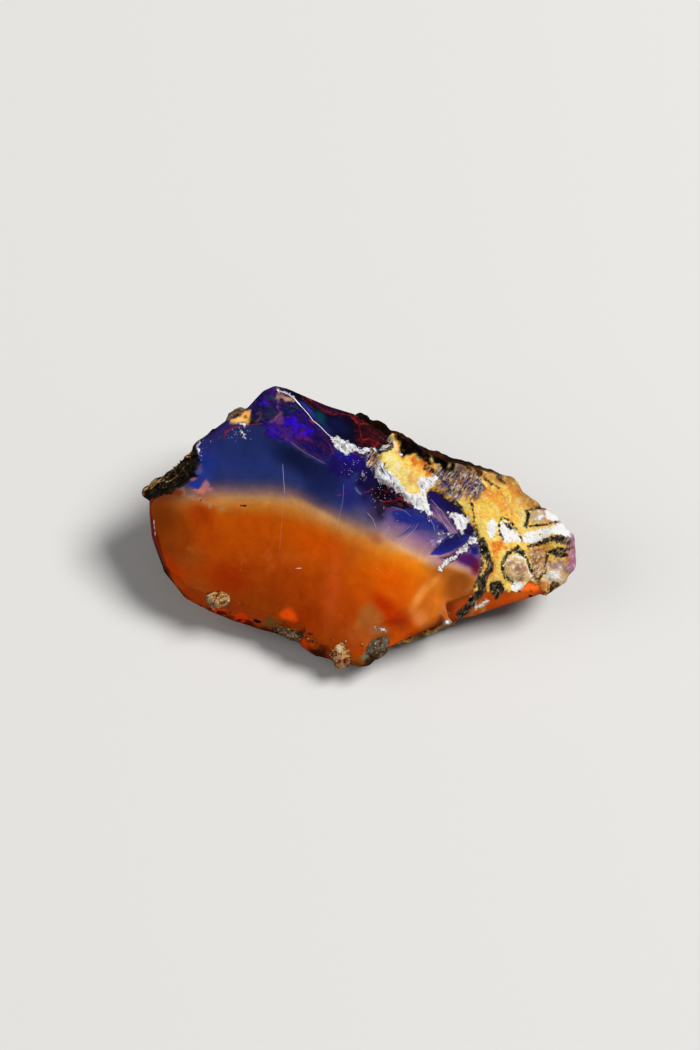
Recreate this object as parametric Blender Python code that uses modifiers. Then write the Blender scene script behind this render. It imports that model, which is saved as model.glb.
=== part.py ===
"""Rough Ethiopian opal: one broken nodule, glassy at the front and wrapped in its host-rock skin.

The stone is shaped in its window's own frame and then tipped onto its flat underside. In that frame
+X runs along the stone, +Y up its glassy window and +Z out of the window, and lengths are millimetres.
A slab with the stone's outline is broken by flat fractures, hollowed by shell-shaped chips and given
its clinging pebbles. Then its skin is roughened into lumps, ledges and pits.
"""

import math
from dataclasses import dataclass

import bmesh
import bpy
import numpy as np
from mathutils import Matrix, Vector, noise

MM = 0.001

# Driving dimensions of the whole stone
WINDOW_TILT = math.radians(30.0)  # the window leans back this far from level when the stone lies at rest
REST_DEPTH = 11.3  # from the middle of the window straight down to the surface that the stone lies on
SLAB_DEPTH = 24.0  # how far the raw slab reaches behind the window
SLAB_PROUD = 1.0  # and in front of it, before the window is split off
MIDDLE = (0.18, 0.99)  # level middle of the tipped stone, which lies over the origin

# The stone's outline as seen square on to its window, clockwise from the left tip
OUTLINE = (
    (-24.3, 0.0), (-23.1, 2.1), (-21.2, 4.1), (-19.9, 6.5), (-17.4, 9.2), (-15.3, 10.8), (-13.4, 13.6),
    (-12.2, 14.4), (-10.8, 14.3), (-5.9, 13.2), (-2.8, 12.8), (3.4, 9.9), (6.5, 8.8), (16.0, 7.6),
    (18.1, 6.2), (20.9, 5.1), (23.5, 2.4), (24.4, -0.4), (23.3, -2.3), (21.4, -4.3), (13.8, -8.1),
    (9.7, -10.0), (5.6, -12.8), (3.6, -15.3), (0.8, -16.3), (-2.2, -15.5), (-4.9, -14.0), (-17.3, -12.1),
    (-21.3, -8.6), (-23.4, -4.9),
)  # fmt: skip

# How fine the solid is
VOXEL = 0.34  # grid that fuses the slab, its chips and its pebbles
TRIANGLES = 8000  # faces left after the flat stretches are thinned out

# Relief of the skin
SKIN_THICKNESS = 0.5  # the skin stands this far above the glass that it covers
LUMP_SIZE, LUMP_HEIGHT = 7.5, 1.3
KNUCKLE_SIZE, KNUCKLE_HEIGHT = 2.8, 0.5
LEDGE_STEP = 0.8  # height of one terrace on the weathered back
NOISE_SEED = Vector((31.7, 4.2, 18.9))

COLLECTION = "rough_opal_stone"
NODE = "rough_opal"


def bearing_vector(bearing, lean):
    """A unit vector that points bearing degrees round the window and leans lean degrees out of it."""
    turn, rise = math.radians(bearing), math.radians(lean)
    return Vector((math.cos(turn) * math.cos(rise), math.sin(turn) * math.cos(rise), math.sin(rise)))


@dataclass(frozen=True)
class Break:
    """A flat fracture right through the slab. It faces bearing degrees round the window and leans lean
    degrees out of it: 0 is an upright wall, 90 the window itself, and a negative lean is an undercut.
    It passes reach from the middle of the window, measured at depth behind it."""

    name: str
    bearing: float
    lean: float
    reach: float
    depth: float = 0.0

    def normal(self):
        return bearing_vector(self.bearing, self.lean)

    def point(self):
        return bearing_vector(self.bearing, 0.0) * self.reach - Vector((0.0, 0.0, self.depth))


@dataclass(frozen=True)
class Spall:
    """A flat fracture along one stretch of the rim only, where a splinter has come away."""

    name: str
    middle: tuple  # a point on the fracture, at the middle of its length
    bearing: float
    lean: float
    length: float
    height: float = 14.0

    def block(self):
        """The splinter: a block whose inner face lies in the fracture."""
        outwards = bearing_vector(self.bearing, self.lean)
        along = Vector((0.0, 0.0, 1.0)).cross(outwards).normalized()
        frame = Matrix((along, outwards.cross(along), outwards)).transposed().to_4x4()
        size = Matrix.Diagonal((self.length, self.height, self.height, 1.0))
        return Matrix.Translation(Vector(self.middle) + outwards * self.height / 2) @ frame @ size


@dataclass(frozen=True)
class Blob:
    """An ellipsoid: a shell-shaped hollow where it is cut away, or a pebble where it is added."""

    name: str
    centre: tuple
    radii: tuple
    turn: float = 0.0  # degrees about the line out of the window
    tip: float = 0.0  # degrees about its own long axis, before that turn
    knobbly: float = 0.0  # how uneven its surface is, as a share of its radii


BREAKS = (
    Break("window", 90.0, 90.0, 0.0),
    Break("apex_facet", 73.4, 79.0, 4.8),
    Break("skin_top_slope", 59.0, 62.0, 6.0),
    Break("skin_end_slope", 2.0, 66.0, 13.9),
    Break("skin_end_corner", 38.0, 48.0, 17.6),
    Break("crust_shoulder", 153.0, 42.0, 19.6),
    Break("shoulder_rim", 138.5, 30.0, 18.7),
    Break("left_rim", -172.0, 18.0, 23.9),
    Break("left_low_rim", -154.6, 22.0, 22.4),
    Break("corner_rim", -131.2, 32.0, 19.8),
    Break("bottom_rim", -99.9, 36.0, 14.6),
    Break("rest", -90.0, -60.0, 0.0, (REST_DEPTH + 0.6) / math.cos(WINDOW_TILT)),
    Break("under_front", -88.0, -46.0, 7.0, 9.2),
    Break("under_left", -126.0, -46.0, 12.0, 9.0),
    Break("under_right", -50.0, -46.0, 13.6, 9.0),
    Break("under_left_end", -176.0, -52.0, 11.4, 13.2),
    Break("under_right_end", -2.0, -52.0, 15.4, 13.0),
    Break("under_back", 92.0, -70.0, 3.4, 15.4),
    Break("back_top", 84.0, -20.0, 12.9, 3.5),
    Break("back_top_low", 93.0, -44.0, 11.6, 9.5),
    Break("back_top_right", 58.0, -30.0, 15.2, 5.0),
    Break("back_top_left", 137.0, -22.0, 19.0, 3.0),
    Break("back_left_low", 132.0, -48.0, 16.6, 8.5),
    Break("back_left", 176.0, -36.0, 24.0, 3.2),
    Break("back_left_front", -142.0, -34.0, 22.2, 2.8),
    Break("back_left_under", -148.0, -58.0, 19.6, 5.0),
    Break("back_front", -94.0, -20.0, 15.6, 2.6),
    Break("back_right_front", -58.0, -34.0, 16.2, 4.2),
    Break("back_right_under", -40.0, -56.0, 17.2, 7.5),
    Break("back_right", 2.0, -34.0, 24.0, 6.5),
    Break("back_right_low", 16.0, -55.0, 20.5, 11.0),
    Break("back_right_top", 44.0, -44.0, 17.6, 8.5),
)

SPALLS = (
    Spall("bottom_left_rim", (-11.6, -10.9, 0.0), -98.7, 42.0, 15.0),
    Spall("low_glass_strip", (17.2, -5.0, -2.2), -65.0, 30.0, 13.0),
    Spall("low_right_rim", (7.4, -10.9, 0.0), -50.0, 38.0, 8.5),
)

# Shell-shaped chips out of the glass and hollows in the skin
HOLLOWS = (
    Blob("top_bevel_shell", (-2.6, 18.3, 4.8), (10.4, 10.5, 10.5)),
    Blob("top_bevel_right", (1.6, 15.6, -0.6), (6.0, 5.6, 5.6), -20.0),
    Blob("lens_chip", (10.6, 0.0, 0.55), (3.1, 0.95, 1.5), 39.0),
    Blob("blue_chip", (8.6, 4.7, 1.4), (3.0, 1.5, 2.6), -34.0),
    Blob("lilac_chip", (11.2, 2.6, 1.2), (2.6, 1.2, 2.2), -48.0),
    Blob("amber_shell", (11.8, -5.4, 7.5), (7.4, 5.0, 8.0), 50.0),
    Blob("low_shell", (5.2, -11.6, 7.6), (8.0, 4.6, 8.2), 32.0),
    Blob("shoulder_notch", (-15.6, 12.2, 0.4), (1.9, 1.3, 2.6), 46.0),
    Blob("corner_shell", (-21.4, -10.2, 2.4), (5.0, 2.8, 3.4), -41.0),
    Blob("back_shell", (-8.0, 15.6, -15.0), (9.5, 6.4, 7.0), 6.0),
    Blob("back_shell_right", (14.0, 12.2, -13.0), (7.5, 5.0, 5.6), -24.0),
    Blob("left_shell", (-24.6, 2.0, -12.0), (5.6, 7.0, 5.0)),
    Blob("under_shell", (4.0, -2.0, -17.4), (9.0, 7.0, 5.2), 20.0),
    Blob("under_shell_left", (-11.0, 1.0, -18.4), (6.0, 7.0, 5.0), -30.0),
)

# Pebbles of host rock that cling to the rim
PEBBLES = (
    Blob("grain_pebble", (-14.4, -11.0, -0.5), (1.45, 1.05, 1.15), 12.0, 0.0, 0.14),
    Blob("bottom_pebble", (0.3, -14.6, -0.9), (1.2, 1.65, 1.3), 8.0, 0.0, 0.18),
    Blob("bottom_right_pebble", (4.0, -13.3, -1.2), (1.9, 1.15, 1.3), 40.0, 0.0, 0.16),
    Blob("bottom_crust", (-4.9, -13.2, -1.7), (2.4, 0.8, 1.0), -6.0, 0.0, 0.2),
    Blob("shoulder_pebble", (-15.9, 10.2, -1.1), (1.35, 0.8, 0.9), 40.0, 0.0, 0.15),
)

# Domes and pits in the skin: the middle of each, its radius and its height, which is negative for a pit
MARKS = (
    ((18.0, -1.6, -1.9), 1.5, 0.55),
    ((20.6, 4.0, -3.4), 1.9, 0.35),
    ((21.9, 2.2, -3.8), 1.2, 0.5),
    ((15.2, 3.2, -0.9), 1.4, 0.4),
    ((16.8, 2.5, -1.3), 0.75, -0.8),
    ((16.3, -4.3, -1.4), 0.9, -0.6),
    ((20.4, 0.8, -2.9), 0.9, -0.55),
    ((22.8, -1.4, -4.0), 1.0, 0.4),
    ((4.0, 6.6, -0.7), 1.3, 0.4),
    ((9.2, 7.4, -2.2), 1.1, -0.6),
    ((12.6, 6.0, -2.3), 1.5, 0.45),
    ((-22.0, 2.0, -1.6), 1.2, 0.45),
    ((-20.4, 4.6, -1.8), 1.0, 0.4),
    ((-8.0, 9.5, -16.0), 1.7, -1.0),
    ((6.0, 9.5, -13.0), 2.6, 0.9),
    ((-16.0, 6.0, -11.0), 2.4, 0.8),
    ((18.0, 3.0, -12.0), 1.6, -0.9),
    ((-1.0, 12.6, -8.0), 2.4, 0.8),
)

# The skin as it shows from the window side. Its inner edge is followed; the rest lies outside the stone
SKIN_PATCH = (
    (2.0, 13.5), (1.9, 10.4), (0.3, 8.4), (0.4, 6.6), (3.2, 5.1), (5.2, 3.9), (8.0, 2.0), (7.0, 4.4),
    (8.3, 5.6), (10.7, 4.9), (12.4, 2.9), (13.6, 0.0), (14.1, -2.4), (13.4, -5.2), (12.3, -7.8),
    (12.4, -20.0), (30.0, -20.0), (30.0, 20.0), (2.0, 20.0),
)  # fmt: skip
CRUST_PATCH = (
    (-21.8, -0.6), (-20.6, 1.9), (-19.6, 3.0), (-19.3, 5.2), (-19.8, 6.8), (-22.0, 10.0), (-28.0, 10.0),
    (-28.0, -0.6),
)  # fmt: skip
SKIN_DEPTH = 4.4  # the walls are bare glass down to about this depth, and skin behind it


def make_mesh_object(name, bm, collection):
    mesh = bpy.data.meshes.new(name)
    bm.to_mesh(mesh)
    bm.free()
    obj = bpy.data.objects.new(name, mesh)
    collection.objects.link(obj)
    return obj


def as_helper(obj):
    obj.hide_render = True
    obj.display_type = "WIRE"
    return obj


def outline_slab():
    """The raw slab: the outline drawn as a flat curve and extruded through the stone's depth."""
    curve = bpy.data.curves.new("outline", "CURVE")
    curve.dimensions = "2D"
    curve.fill_mode = "BOTH"
    curve.extrude = (SLAB_DEPTH + SLAB_PROUD) / 2
    spline = curve.splines.new("POLY")
    spline.points.add(len(OUTLINE) - 1)
    spline.use_cyclic_u = True
    for point, (x, y) in zip(spline.points, OUTLINE):
        point.co = (x, y, 0.0, 1.0)
    obj = bpy.data.objects.new("outline", curve)
    bpy.context.scene.collection.objects.link(obj)
    bpy.context.view_layer.update()
    graph = bpy.context.evaluated_depsgraph_get()
    mesh = bpy.data.meshes.new_from_object(obj.evaluated_get(graph))
    bpy.data.objects.remove(obj)
    mesh.transform(Matrix.Translation((0.0, 0.0, (SLAB_PROUD - SLAB_DEPTH) / 2)))
    return mesh


def broken_slab(collection):
    """The slab with everything outside each fracture broken away."""
    bm = bmesh.new()
    bm.from_mesh(outline_slab())
    bmesh.ops.remove_doubles(bm, verts=bm.verts[:], dist=0.001)
    for fracture in BREAKS:
        geometry = bm.verts[:] + bm.edges[:] + bm.faces[:]
        cut = bmesh.ops.bisect_plane(
            bm, geom=geometry, plane_co=fracture.point(), plane_no=fracture.normal(), clear_outer=True
        )
        rim = [item for item in cut["geom_cut"] if isinstance(item, bmesh.types.BMEdge)]
        if rim:
            bmesh.ops.triangle_fill(bm, edges=rim, use_beauty=True, normal=fracture.normal())
    bmesh.ops.recalc_face_normals(bm, faces=bm.faces[:])
    return as_helper(make_mesh_object("broken_slab", bm, collection))


def splinter(spall, collection):
    """The block that comes away at a spall."""
    bm = bmesh.new()
    bmesh.ops.create_cube(bm, size=1.0, matrix=spall.block())
    return as_helper(make_mesh_object(spall.name, bm, collection))


def ellipsoid(blob, collection):
    """The ellipsoid of a hollow or a pebble."""
    bm = bmesh.new()
    bmesh.ops.create_icosphere(bm, subdivisions=4, radius=1.0)
    for vert in bm.verts:
        vert.co *= 1.0 + blob.knobbly * noise.noise(vert.co * 2.2 + Vector(blob.centre))
    bmesh.ops.scale(bm, vec=blob.radii, verts=bm.verts[:])
    tip = Matrix.Rotation(math.radians(blob.tip), 3, "X")
    turn = Matrix.Rotation(math.radians(blob.turn), 3, "Z")
    bmesh.ops.rotate(bm, cent=(0, 0, 0), matrix=turn @ tip, verts=bm.verts[:])
    bmesh.ops.translate(bm, vec=blob.centre, verts=bm.verts[:])
    return as_helper(make_mesh_object(blob.name, bm, collection))


def add_boolean(obj, other, operation):
    modifier = obj.modifiers.new(f"{operation.lower()}_{other.name}", "BOOLEAN")
    modifier.operation = operation
    modifier.object = other
    modifier.solver = "EXACT"


def evaluated_mesh(obj):
    bpy.context.view_layer.update()
    graph = bpy.context.evaluated_depsgraph_get()
    return bpy.data.meshes.new_from_object(obj.evaluated_get(graph))


def fused_mesh(helpers):
    """The slab, its spalls, chips and pebbles as one even skin of small squares."""
    stone = broken_slab(helpers)
    for spall in SPALLS:
        add_boolean(stone, splinter(spall, helpers), "DIFFERENCE")
    for blob in HOLLOWS:
        add_boolean(stone, ellipsoid(blob, helpers), "DIFFERENCE")
    for blob in PEBBLES:
        add_boolean(stone, ellipsoid(blob, helpers), "UNION")
    remesh = stone.modifiers.new("fuse", "REMESH")
    remesh.mode = "VOXEL"
    remesh.voxel_size = VOXEL
    return evaluated_mesh(stone)


def smoothstep(low, high, value):
    t = np.clip((value - low) / (high - low), 0.0, 1.0)
    return t * t * (3.0 - 2.0 * t)


def depth_inside(x, y, patch):
    """Distance of points from the edge of a closed patch, positive inside it."""
    nearest = np.full(len(x), np.inf)
    inside = np.zeros(len(x), bool)
    for (ax, ay), (bx, by) in zip(patch, patch[1:] + patch[:1]):
        dx, dy = bx - ax, by - ay
        along = np.clip(((x - ax) * dx + (y - ay) * dy) / (dx * dx + dy * dy), 0.0, 1.0)
        nearest = np.minimum(nearest, np.hypot(x - ax - along * dx, y - ay - along * dy))
        if ay != by:
            crosses = (ay > y) != (by > y)
            inside ^= crosses & (x < ax + (y - ay) * dx / dy)
    return np.where(inside, nearest, -nearest)


def noise_at(points, size, offset):
    return np.array([noise.noise(Vector(p) / size + offset) for p in points])


def terraced(height, step):
    """The same height in flat treads with sloping risers between them."""
    level = np.floor(height / step)
    return (level + smoothstep(0.3, 0.7, height / step - level)) * step


def skin_share(points, normals):
    """How far each point is covered by host-rock skin, from 0 on bare glass to 1."""
    x, y, z = points.T
    wobble = noise_at(points, 1.1, NOISE_SEED)
    on_end = smoothstep(-0.2, 0.4, depth_inside(x, y, SKIN_PATCH) + 0.4 * wobble)
    strip = bearing_vector(-65.0, 30.0)
    faces_strip = smoothstep(0.86, 0.94, normals @ np.array(strip))
    on_back = smoothstep(SKIN_DEPTH - 1.0, SKIN_DEPTH + 1.6, -z + 1.2 * wobble)
    on_crust = smoothstep(-0.1, 0.35, depth_inside(x, y, CRUST_PATCH) + 0.4 * wobble)
    on_strip = faces_strip * smoothstep(-7.5, -6.0, z) * smoothstep(10.0, 12.0, x)
    return np.maximum.reduce([on_end, on_back, on_crust]) * (1.0 - on_strip)


def relief(points, share):
    """Height of the skin's lumps, knuckles, domes and ledges above the glass, and depth of its pits."""
    lumps = noise_at(points, LUMP_SIZE, NOISE_SEED)
    knuckles = noise_at(points, KNUCKLE_SIZE, -NOISE_SEED)
    behind = smoothstep(5.0, 9.0, -points[:, 2])
    terrace = terraced(lumps * LUMP_HEIGHT, LEDGE_STEP)
    height = SKIN_THICKNESS + lumps * LUMP_HEIGHT * (0.6 - 0.1 * behind) + 0.5 * behind * terrace
    height += np.abs(knuckles) * KNUCKLE_HEIGHT
    for middle, radius, rise in MARKS:
        away = np.linalg.norm(points - np.array(middle), axis=1)
        height += rise * smoothstep(1.25 * radius, 0.6 * radius, away)
    return height * share


def vectors(mesh, collection, attribute):
    values = np.empty(len(mesh.vertices) * 3)
    collection.foreach_get(attribute, values)
    return values.reshape(-1, 3)


def roughen(mesh):
    """Moves the skin's points out and in along their normals; the glass keeps its clean breaks."""
    points = vectors(mesh, mesh.vertices, "co")
    normals = vectors(mesh, mesh.vertex_normals, "vector")
    share = skin_share(points, normals)
    points += normals * relief(points, share)[:, None]
    mesh.vertices.foreach_set("co", points.ravel())
    mesh.update()


def at_rest():
    """Takes the window's frame, in millimetres, to the stone's own frame, in metres: tipped onto its
    flat, which lies at Z = 0, with its middle over the origin."""
    lift = Matrix.Translation((-MIDDLE[0], -MIDDLE[1], REST_DEPTH))
    return Matrix.Scale(MM, 4) @ lift @ Matrix.Rotation(WINDOW_TILT, 4, "X")


def thinned(mesh, helpers):
    """The same stone with large faces where it is flat and small ones where it is rough."""
    dense = bpy.data.objects.new("dense_stone", mesh)
    helpers.objects.link(as_helper(dense))
    thin = dense.modifiers.new("thin", "DECIMATE")
    thin.ratio = TRIANGLES / (2 * len(mesh.polygons))
    return evaluated_mesh(dense)


def flatten_underside(mesh):
    """Breaks the skin off flat where the stone lies."""
    bm = bmesh.new()
    bm.from_mesh(mesh)
    geometry = bm.verts[:] + bm.edges[:] + bm.faces[:]
    cut = bmesh.ops.bisect_plane(bm, geom=geometry, plane_co=(0, 0, 0), plane_no=(0, 0, -1), clear_outer=True)
    rim = [item for item in cut["geom_cut"] if isinstance(item, bmesh.types.BMEdge)]
    bmesh.ops.triangle_fill(bm, edges=rim, use_beauty=True, normal=(0, 0, -1))
    bm.to_mesh(mesh)
    bm.free()


def stone_material(name, colour, roughness):
    material = bpy.data.materials.new(name)
    material.use_nodes = True
    shader = material.node_tree.nodes["Principled BSDF"]
    shader.inputs["Base Color"].default_value = (*colour, 1.0)
    shader.inputs["Roughness"].default_value = roughness
    shader.inputs["Metallic"].default_value = 0.0
    return material


def main():
    for obj in list(bpy.data.objects):
        bpy.data.objects.remove(obj)
    stone_collection = bpy.data.collections.new(COLLECTION)
    helpers = bpy.data.collections.new("cutters")
    for collection in (stone_collection, helpers):
        bpy.context.scene.collection.children.link(collection)

    mesh = fused_mesh(helpers)
    roughen(mesh)
    mesh.transform(at_rest())
    mesh = thinned(mesh, helpers)
    flatten_underside(mesh)
    mesh.shade_smooth()
    mesh.set_sharp_from_angle(angle=math.radians(35.0))
    mesh.name = NODE
    mesh.materials.clear()
    mesh.materials.append(stone_material("orange_opal", (0.47, 0.09, 0.004), 0.12))
    stone_collection.objects.link(bpy.data.objects.new(NODE, mesh))


main()
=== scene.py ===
"""Rough Ethiopian opal, dressed: a broken nodule of glassy opal in its host-rock skin.

The stone is modelled in its window's own frame, in millimetres: +X runs along the stone, +Y up its
glassy window and +Z out of the window. It is then laid on its flat underside, in metres, where the
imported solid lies. Two pieces are built: the stone itself and the loose sugary grains that cling to
its rim and seams.
"""

import logging
import math
from dataclasses import dataclass, field
from enum import Enum
from typing import Any, Iterable

import bpy
import numpy as np
from mathutils import Matrix, Vector, noise


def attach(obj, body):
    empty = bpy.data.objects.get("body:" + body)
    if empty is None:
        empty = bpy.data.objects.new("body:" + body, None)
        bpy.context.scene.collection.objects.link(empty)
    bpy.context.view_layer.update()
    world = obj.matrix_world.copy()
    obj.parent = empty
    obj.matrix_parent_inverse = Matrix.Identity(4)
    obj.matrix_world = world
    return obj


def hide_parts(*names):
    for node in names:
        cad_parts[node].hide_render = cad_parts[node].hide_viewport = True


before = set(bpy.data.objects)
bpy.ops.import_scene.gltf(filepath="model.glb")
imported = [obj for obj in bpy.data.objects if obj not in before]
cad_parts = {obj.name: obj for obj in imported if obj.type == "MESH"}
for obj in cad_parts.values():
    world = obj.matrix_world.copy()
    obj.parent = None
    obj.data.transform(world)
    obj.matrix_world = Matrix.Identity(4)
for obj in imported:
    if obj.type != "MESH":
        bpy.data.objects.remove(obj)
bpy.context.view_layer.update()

LOG = logging.getLogger("rough_opal")
NODE = "rough_opal"
BODY = "root"
MM = 0.001

# How the stone lies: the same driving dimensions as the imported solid
WINDOW_TILT = math.radians(30.0)  # the window leans back this far from level
REST_DEPTH = 11.3  # from the middle of the window straight down to the surface below
SLAB_DEPTH = 24.0  # how far the raw slab reaches behind the window
SLAB_PROUD = 1.0  # and in front of it
MIDDLE = (0.18, 0.99)  # level middle of the tipped stone, which lies over the origin
NOISE_SEED = Vector((31.7, 4.2, 18.9))

Point2 = tuple[float, float]
Point3 = tuple[float, float, float]
Path = tuple[Point2, ...]

# The stone's outline square on to its window, clockwise from the left tip
OUTLINE: Path = (
    (-24.3, 0), (-23.1, 2.1), (-21.2, 4.1), (-19.9, 6.5), (-17.4, 9.2), (-15.3, 10.8), (-13.4, 13.6),
    (-12.2, 14.4), (-10.8, 14.3), (-5.9, 13.2), (-2.8, 12.8), (3.4, 9.9), (6.5, 8.8), (16, 7.6),
    (18.1, 6.2), (20.9, 5.1), (23.5, 2.4), (24.4, -0.4), (23.3, -2.3), (21.4, -4.3), (13.8, -8.1),
    (9.7, -10), (5.6, -12.8), (3.6, -15.3), (0.8, -16.3), (-2.2, -15.5), (-4.9, -14), (-17.3, -12.1),
    (-21.3, -8.6), (-23.4, -4.9),
)


def srgb(code: str) -> np.ndarray:
    """The red, green and blue of a hex code, from 0 to 1."""
    return np.array([int(code[i : i + 2], 16) for i in (1, 3, 5)]) / 255.0


def linear(colour: np.ndarray | str) -> np.ndarray:
    """Turns sRGB into linear light.

    Args:
        colour: A hex code such as "#28337a", or an array of sRGB values from 0 to 1.

    Returns:
        The linear values, with alpha 1 added to a hex code.
    """
    if isinstance(colour, str):
        return np.append(linear(srgb(colour)), 1.0)
    return np.where(colour <= 0.04045, colour / 12.92, ((colour + 0.055) / 1.055) ** 2.4)


def smoothstep(low: float, high: float, value: np.ndarray) -> np.ndarray:
    """A soft step from 0 at low to 1 at high, which may be the smaller of the two."""
    t = np.clip((value - low) / (high - low), 0.0, 1.0)
    return t * t * (3.0 - 2.0 * t)


def noise_at(points: np.ndarray, size: float, offset: Vector) -> np.ndarray:
    """Smooth noise from -1 to 1 at each point.

    Args:
        points: One row per point, in mm.
        size: Width of one swell, in mm.
        offset: Shifts the pattern, so that two calls differ.

    Returns:
        One value per point.
    """
    return np.array([noise.noise(Vector(p) / size + offset) for p in points])


def bearing_vector(bearing: float, lean: float) -> Vector:
    """A unit vector that points bearing degrees round the window and leans lean degrees out of it."""
    turn, rise = math.radians(bearing), math.radians(lean)
    return Vector((math.cos(turn) * math.cos(rise), math.sin(turn) * math.cos(rise), math.sin(rise)))


def at_rest() -> Matrix:
    """Takes the window's frame, in mm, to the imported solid's frame, in metres."""
    lift = Matrix.Translation((-MIDDLE[0], -MIDDLE[1], REST_DEPTH))
    return Matrix.Scale(MM, 4) @ lift @ Matrix.Rotation(WINDOW_TILT, 4, "X")


# ---- breaks, chips and pebbles


@dataclass(frozen=True)
class Break:
    """A flat fracture right through the slab, facing bearing degrees round the window and leaning lean
    degrees out of it. It passes reach from the window's middle, measured at depth behind it."""

    name: str
    bearing: float
    lean: float
    reach: float
    depth: float = 0.0

    def normal(self) -> Vector:
        """The way the fracture faces."""
        return bearing_vector(self.bearing, self.lean)

    def point(self) -> Vector:
        """One point that it passes through."""
        return bearing_vector(self.bearing, 0.0) * self.reach - Vector((0.0, 0.0, self.depth))


@dataclass(frozen=True)
class Spall:
    """A flat fracture along one stretch of the rim only, where a splinter has come away."""

    name: str
    middle: Point3
    bearing: float
    lean: float
    length: float
    height: float = 14.0

    def frame(self) -> Matrix:
        """Finds the place and size of the splinter that came away.

        Returns:
            A matrix for a cube of side 1.
        """
        outwards = bearing_vector(self.bearing, self.lean)
        along = Vector((0.0, 0.0, 1.0)).cross(outwards).normalized()
        axes = Matrix((along, outwards.cross(along), outwards)).transposed().to_4x4()
        size = Matrix.Diagonal((self.length, self.height, self.height, 1.0))
        return Matrix.Translation(Vector(self.middle) + outwards * self.height / 2) @ axes @ size


@dataclass(frozen=True)
class Blob:
    """An ellipsoid: a shell-shaped hollow where it is cut away, or a pebble where it is added."""

    name: str
    centre: Point3
    radii: Point3
    turn: float = 0.0
    knobbly: float = 0.0

    def rotation(self) -> Matrix:
        """Turns the blob's own axes to the window's."""
        return Matrix.Rotation(math.radians(self.turn), 4, "Z")

    def depth(self, points: np.ndarray) -> np.ndarray:
        """Measures how far inside the blob points are.

        Args:
            points: One row per point, in mm.

        Returns:
            The depth in mm, negative outside.
        """
        local = (points - np.array(self.centre)) @ np.array(self.rotation().to_3x3())
        away = np.linalg.norm(local / np.array(self.radii), axis=1)
        return (1.0 - away) * float(np.mean(self.radii))


BREAKS = (
    Break("window", 90, 90, 0),
    Break("apex_facet", 73.4, 79, 4.8),
    Break("skin_top_slope", 59, 62, 6),
    Break("skin_end_slope", 2, 66, 13.9),
    Break("skin_end_corner", 38, 48, 17.6),
    Break("crust_shoulder", 153, 42, 20.6),  # 1 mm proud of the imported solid's, under the crust
    Break("shoulder_rim", 138.5, 30, 18.7),
    Break("left_rim", -172, 18, 23.9),
    Break("left_low_rim", -154.6, 22, 22.4),
    Break("corner_rim", -131.2, 32, 19.8),
    Break("bottom_rim", -99.9, 36, 14.6),
    Break("rest", -90, -60, 0, (REST_DEPTH + 0.6) / math.cos(WINDOW_TILT)),
    Break("under_front", -88, -46, 7, 9.2),
    Break("under_left", -126, -46, 12, 9),
    Break("under_right", -50, -46, 13.6, 9),
    Break("under_left_end", -176, -52, 11.4, 13.2),
    Break("under_right_end", -2, -52, 15.4, 13),
    Break("under_back", 92, -70, 3.4, 15.4),
    Break("back_top", 84, -20, 12.9, 3.5),
    Break("back_top_low", 93, -44, 11.6, 9.5),
    Break("back_top_right", 58, -30, 15.2, 5),
    Break("back_top_left", 137, -22, 19, 3),
    Break("back_left_low", 132, -48, 16.6, 8.5),
    Break("back_left", 176, -36, 24, 3.2),
    Break("back_left_front", -142, -34, 22.2, 2.8),
    Break("back_left_under", -148, -58, 19.6, 5),
    Break("back_front", -94, -20, 15.6, 2.6),
    Break("back_right_front", -58, -34, 16.2, 4.2),
    Break("back_right_under", -40, -56, 17.2, 7.5),
    Break("back_right", 2, -34, 24, 6.5),
    Break("back_right_low", 16, -55, 20.5, 11),
    Break("back_right_top", 44, -44, 17.6, 8.5),
)

SPALLS = (
    Spall("bottom_left_rim", (-11.6, -10.9, 0), -98.7, 42, 15),
    Spall("low_glass_strip", (17.2, -5, -2.2), -65, 30, 13),
    Spall("low_right_rim", (7.4, -10.9, 0), -50, 38, 8.5),
)

HOLLOWS = (
    Blob("top_bevel_shell", (-2.6, 18.3, 4.8), (10.4, 10.5, 10.5)),
    Blob("top_bevel_right", (1.6, 15.6, -0.6), (6, 5.6, 5.6), -20),
    Blob("lens_chip", (10.6, 0, 0.55), (3.1, 0.95, 1.5), 39),
    Blob("blue_chip", (8.6, 4.7, 1.4), (3, 1.5, 2.6), -34),
    Blob("lilac_chip", (11.2, 2.6, 1.2), (2.6, 1.2, 2.2), -48),
    Blob("amber_shell", (11.8, -5.4, 7.5), (7.4, 5, 8), 50),
    Blob("low_shell", (5.2, -11.6, 7.6), (8, 4.6, 8.2), 32),
    Blob("shoulder_notch", (-15.6, 12.2, 0.4), (1.9, 1.3, 2.6), 46),
    Blob("corner_shell", (-21.4, -10.2, 2.4), (5, 2.8, 3.4), -41),
    Blob("back_shell", (-8, 15.6, -15), (9.5, 6.4, 7), 6),
    Blob("back_shell_right", (14, 12.2, -13), (7.5, 5, 5.6), -24),
    Blob("left_shell", (-24.6, 2, -12), (5.6, 7, 5)),
    Blob("under_shell", (4, -2, -17.4), (9, 7, 5.2), 20),
    Blob("under_shell_left", (-11, 1, -18.4), (6, 7, 5), -30),
)

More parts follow.
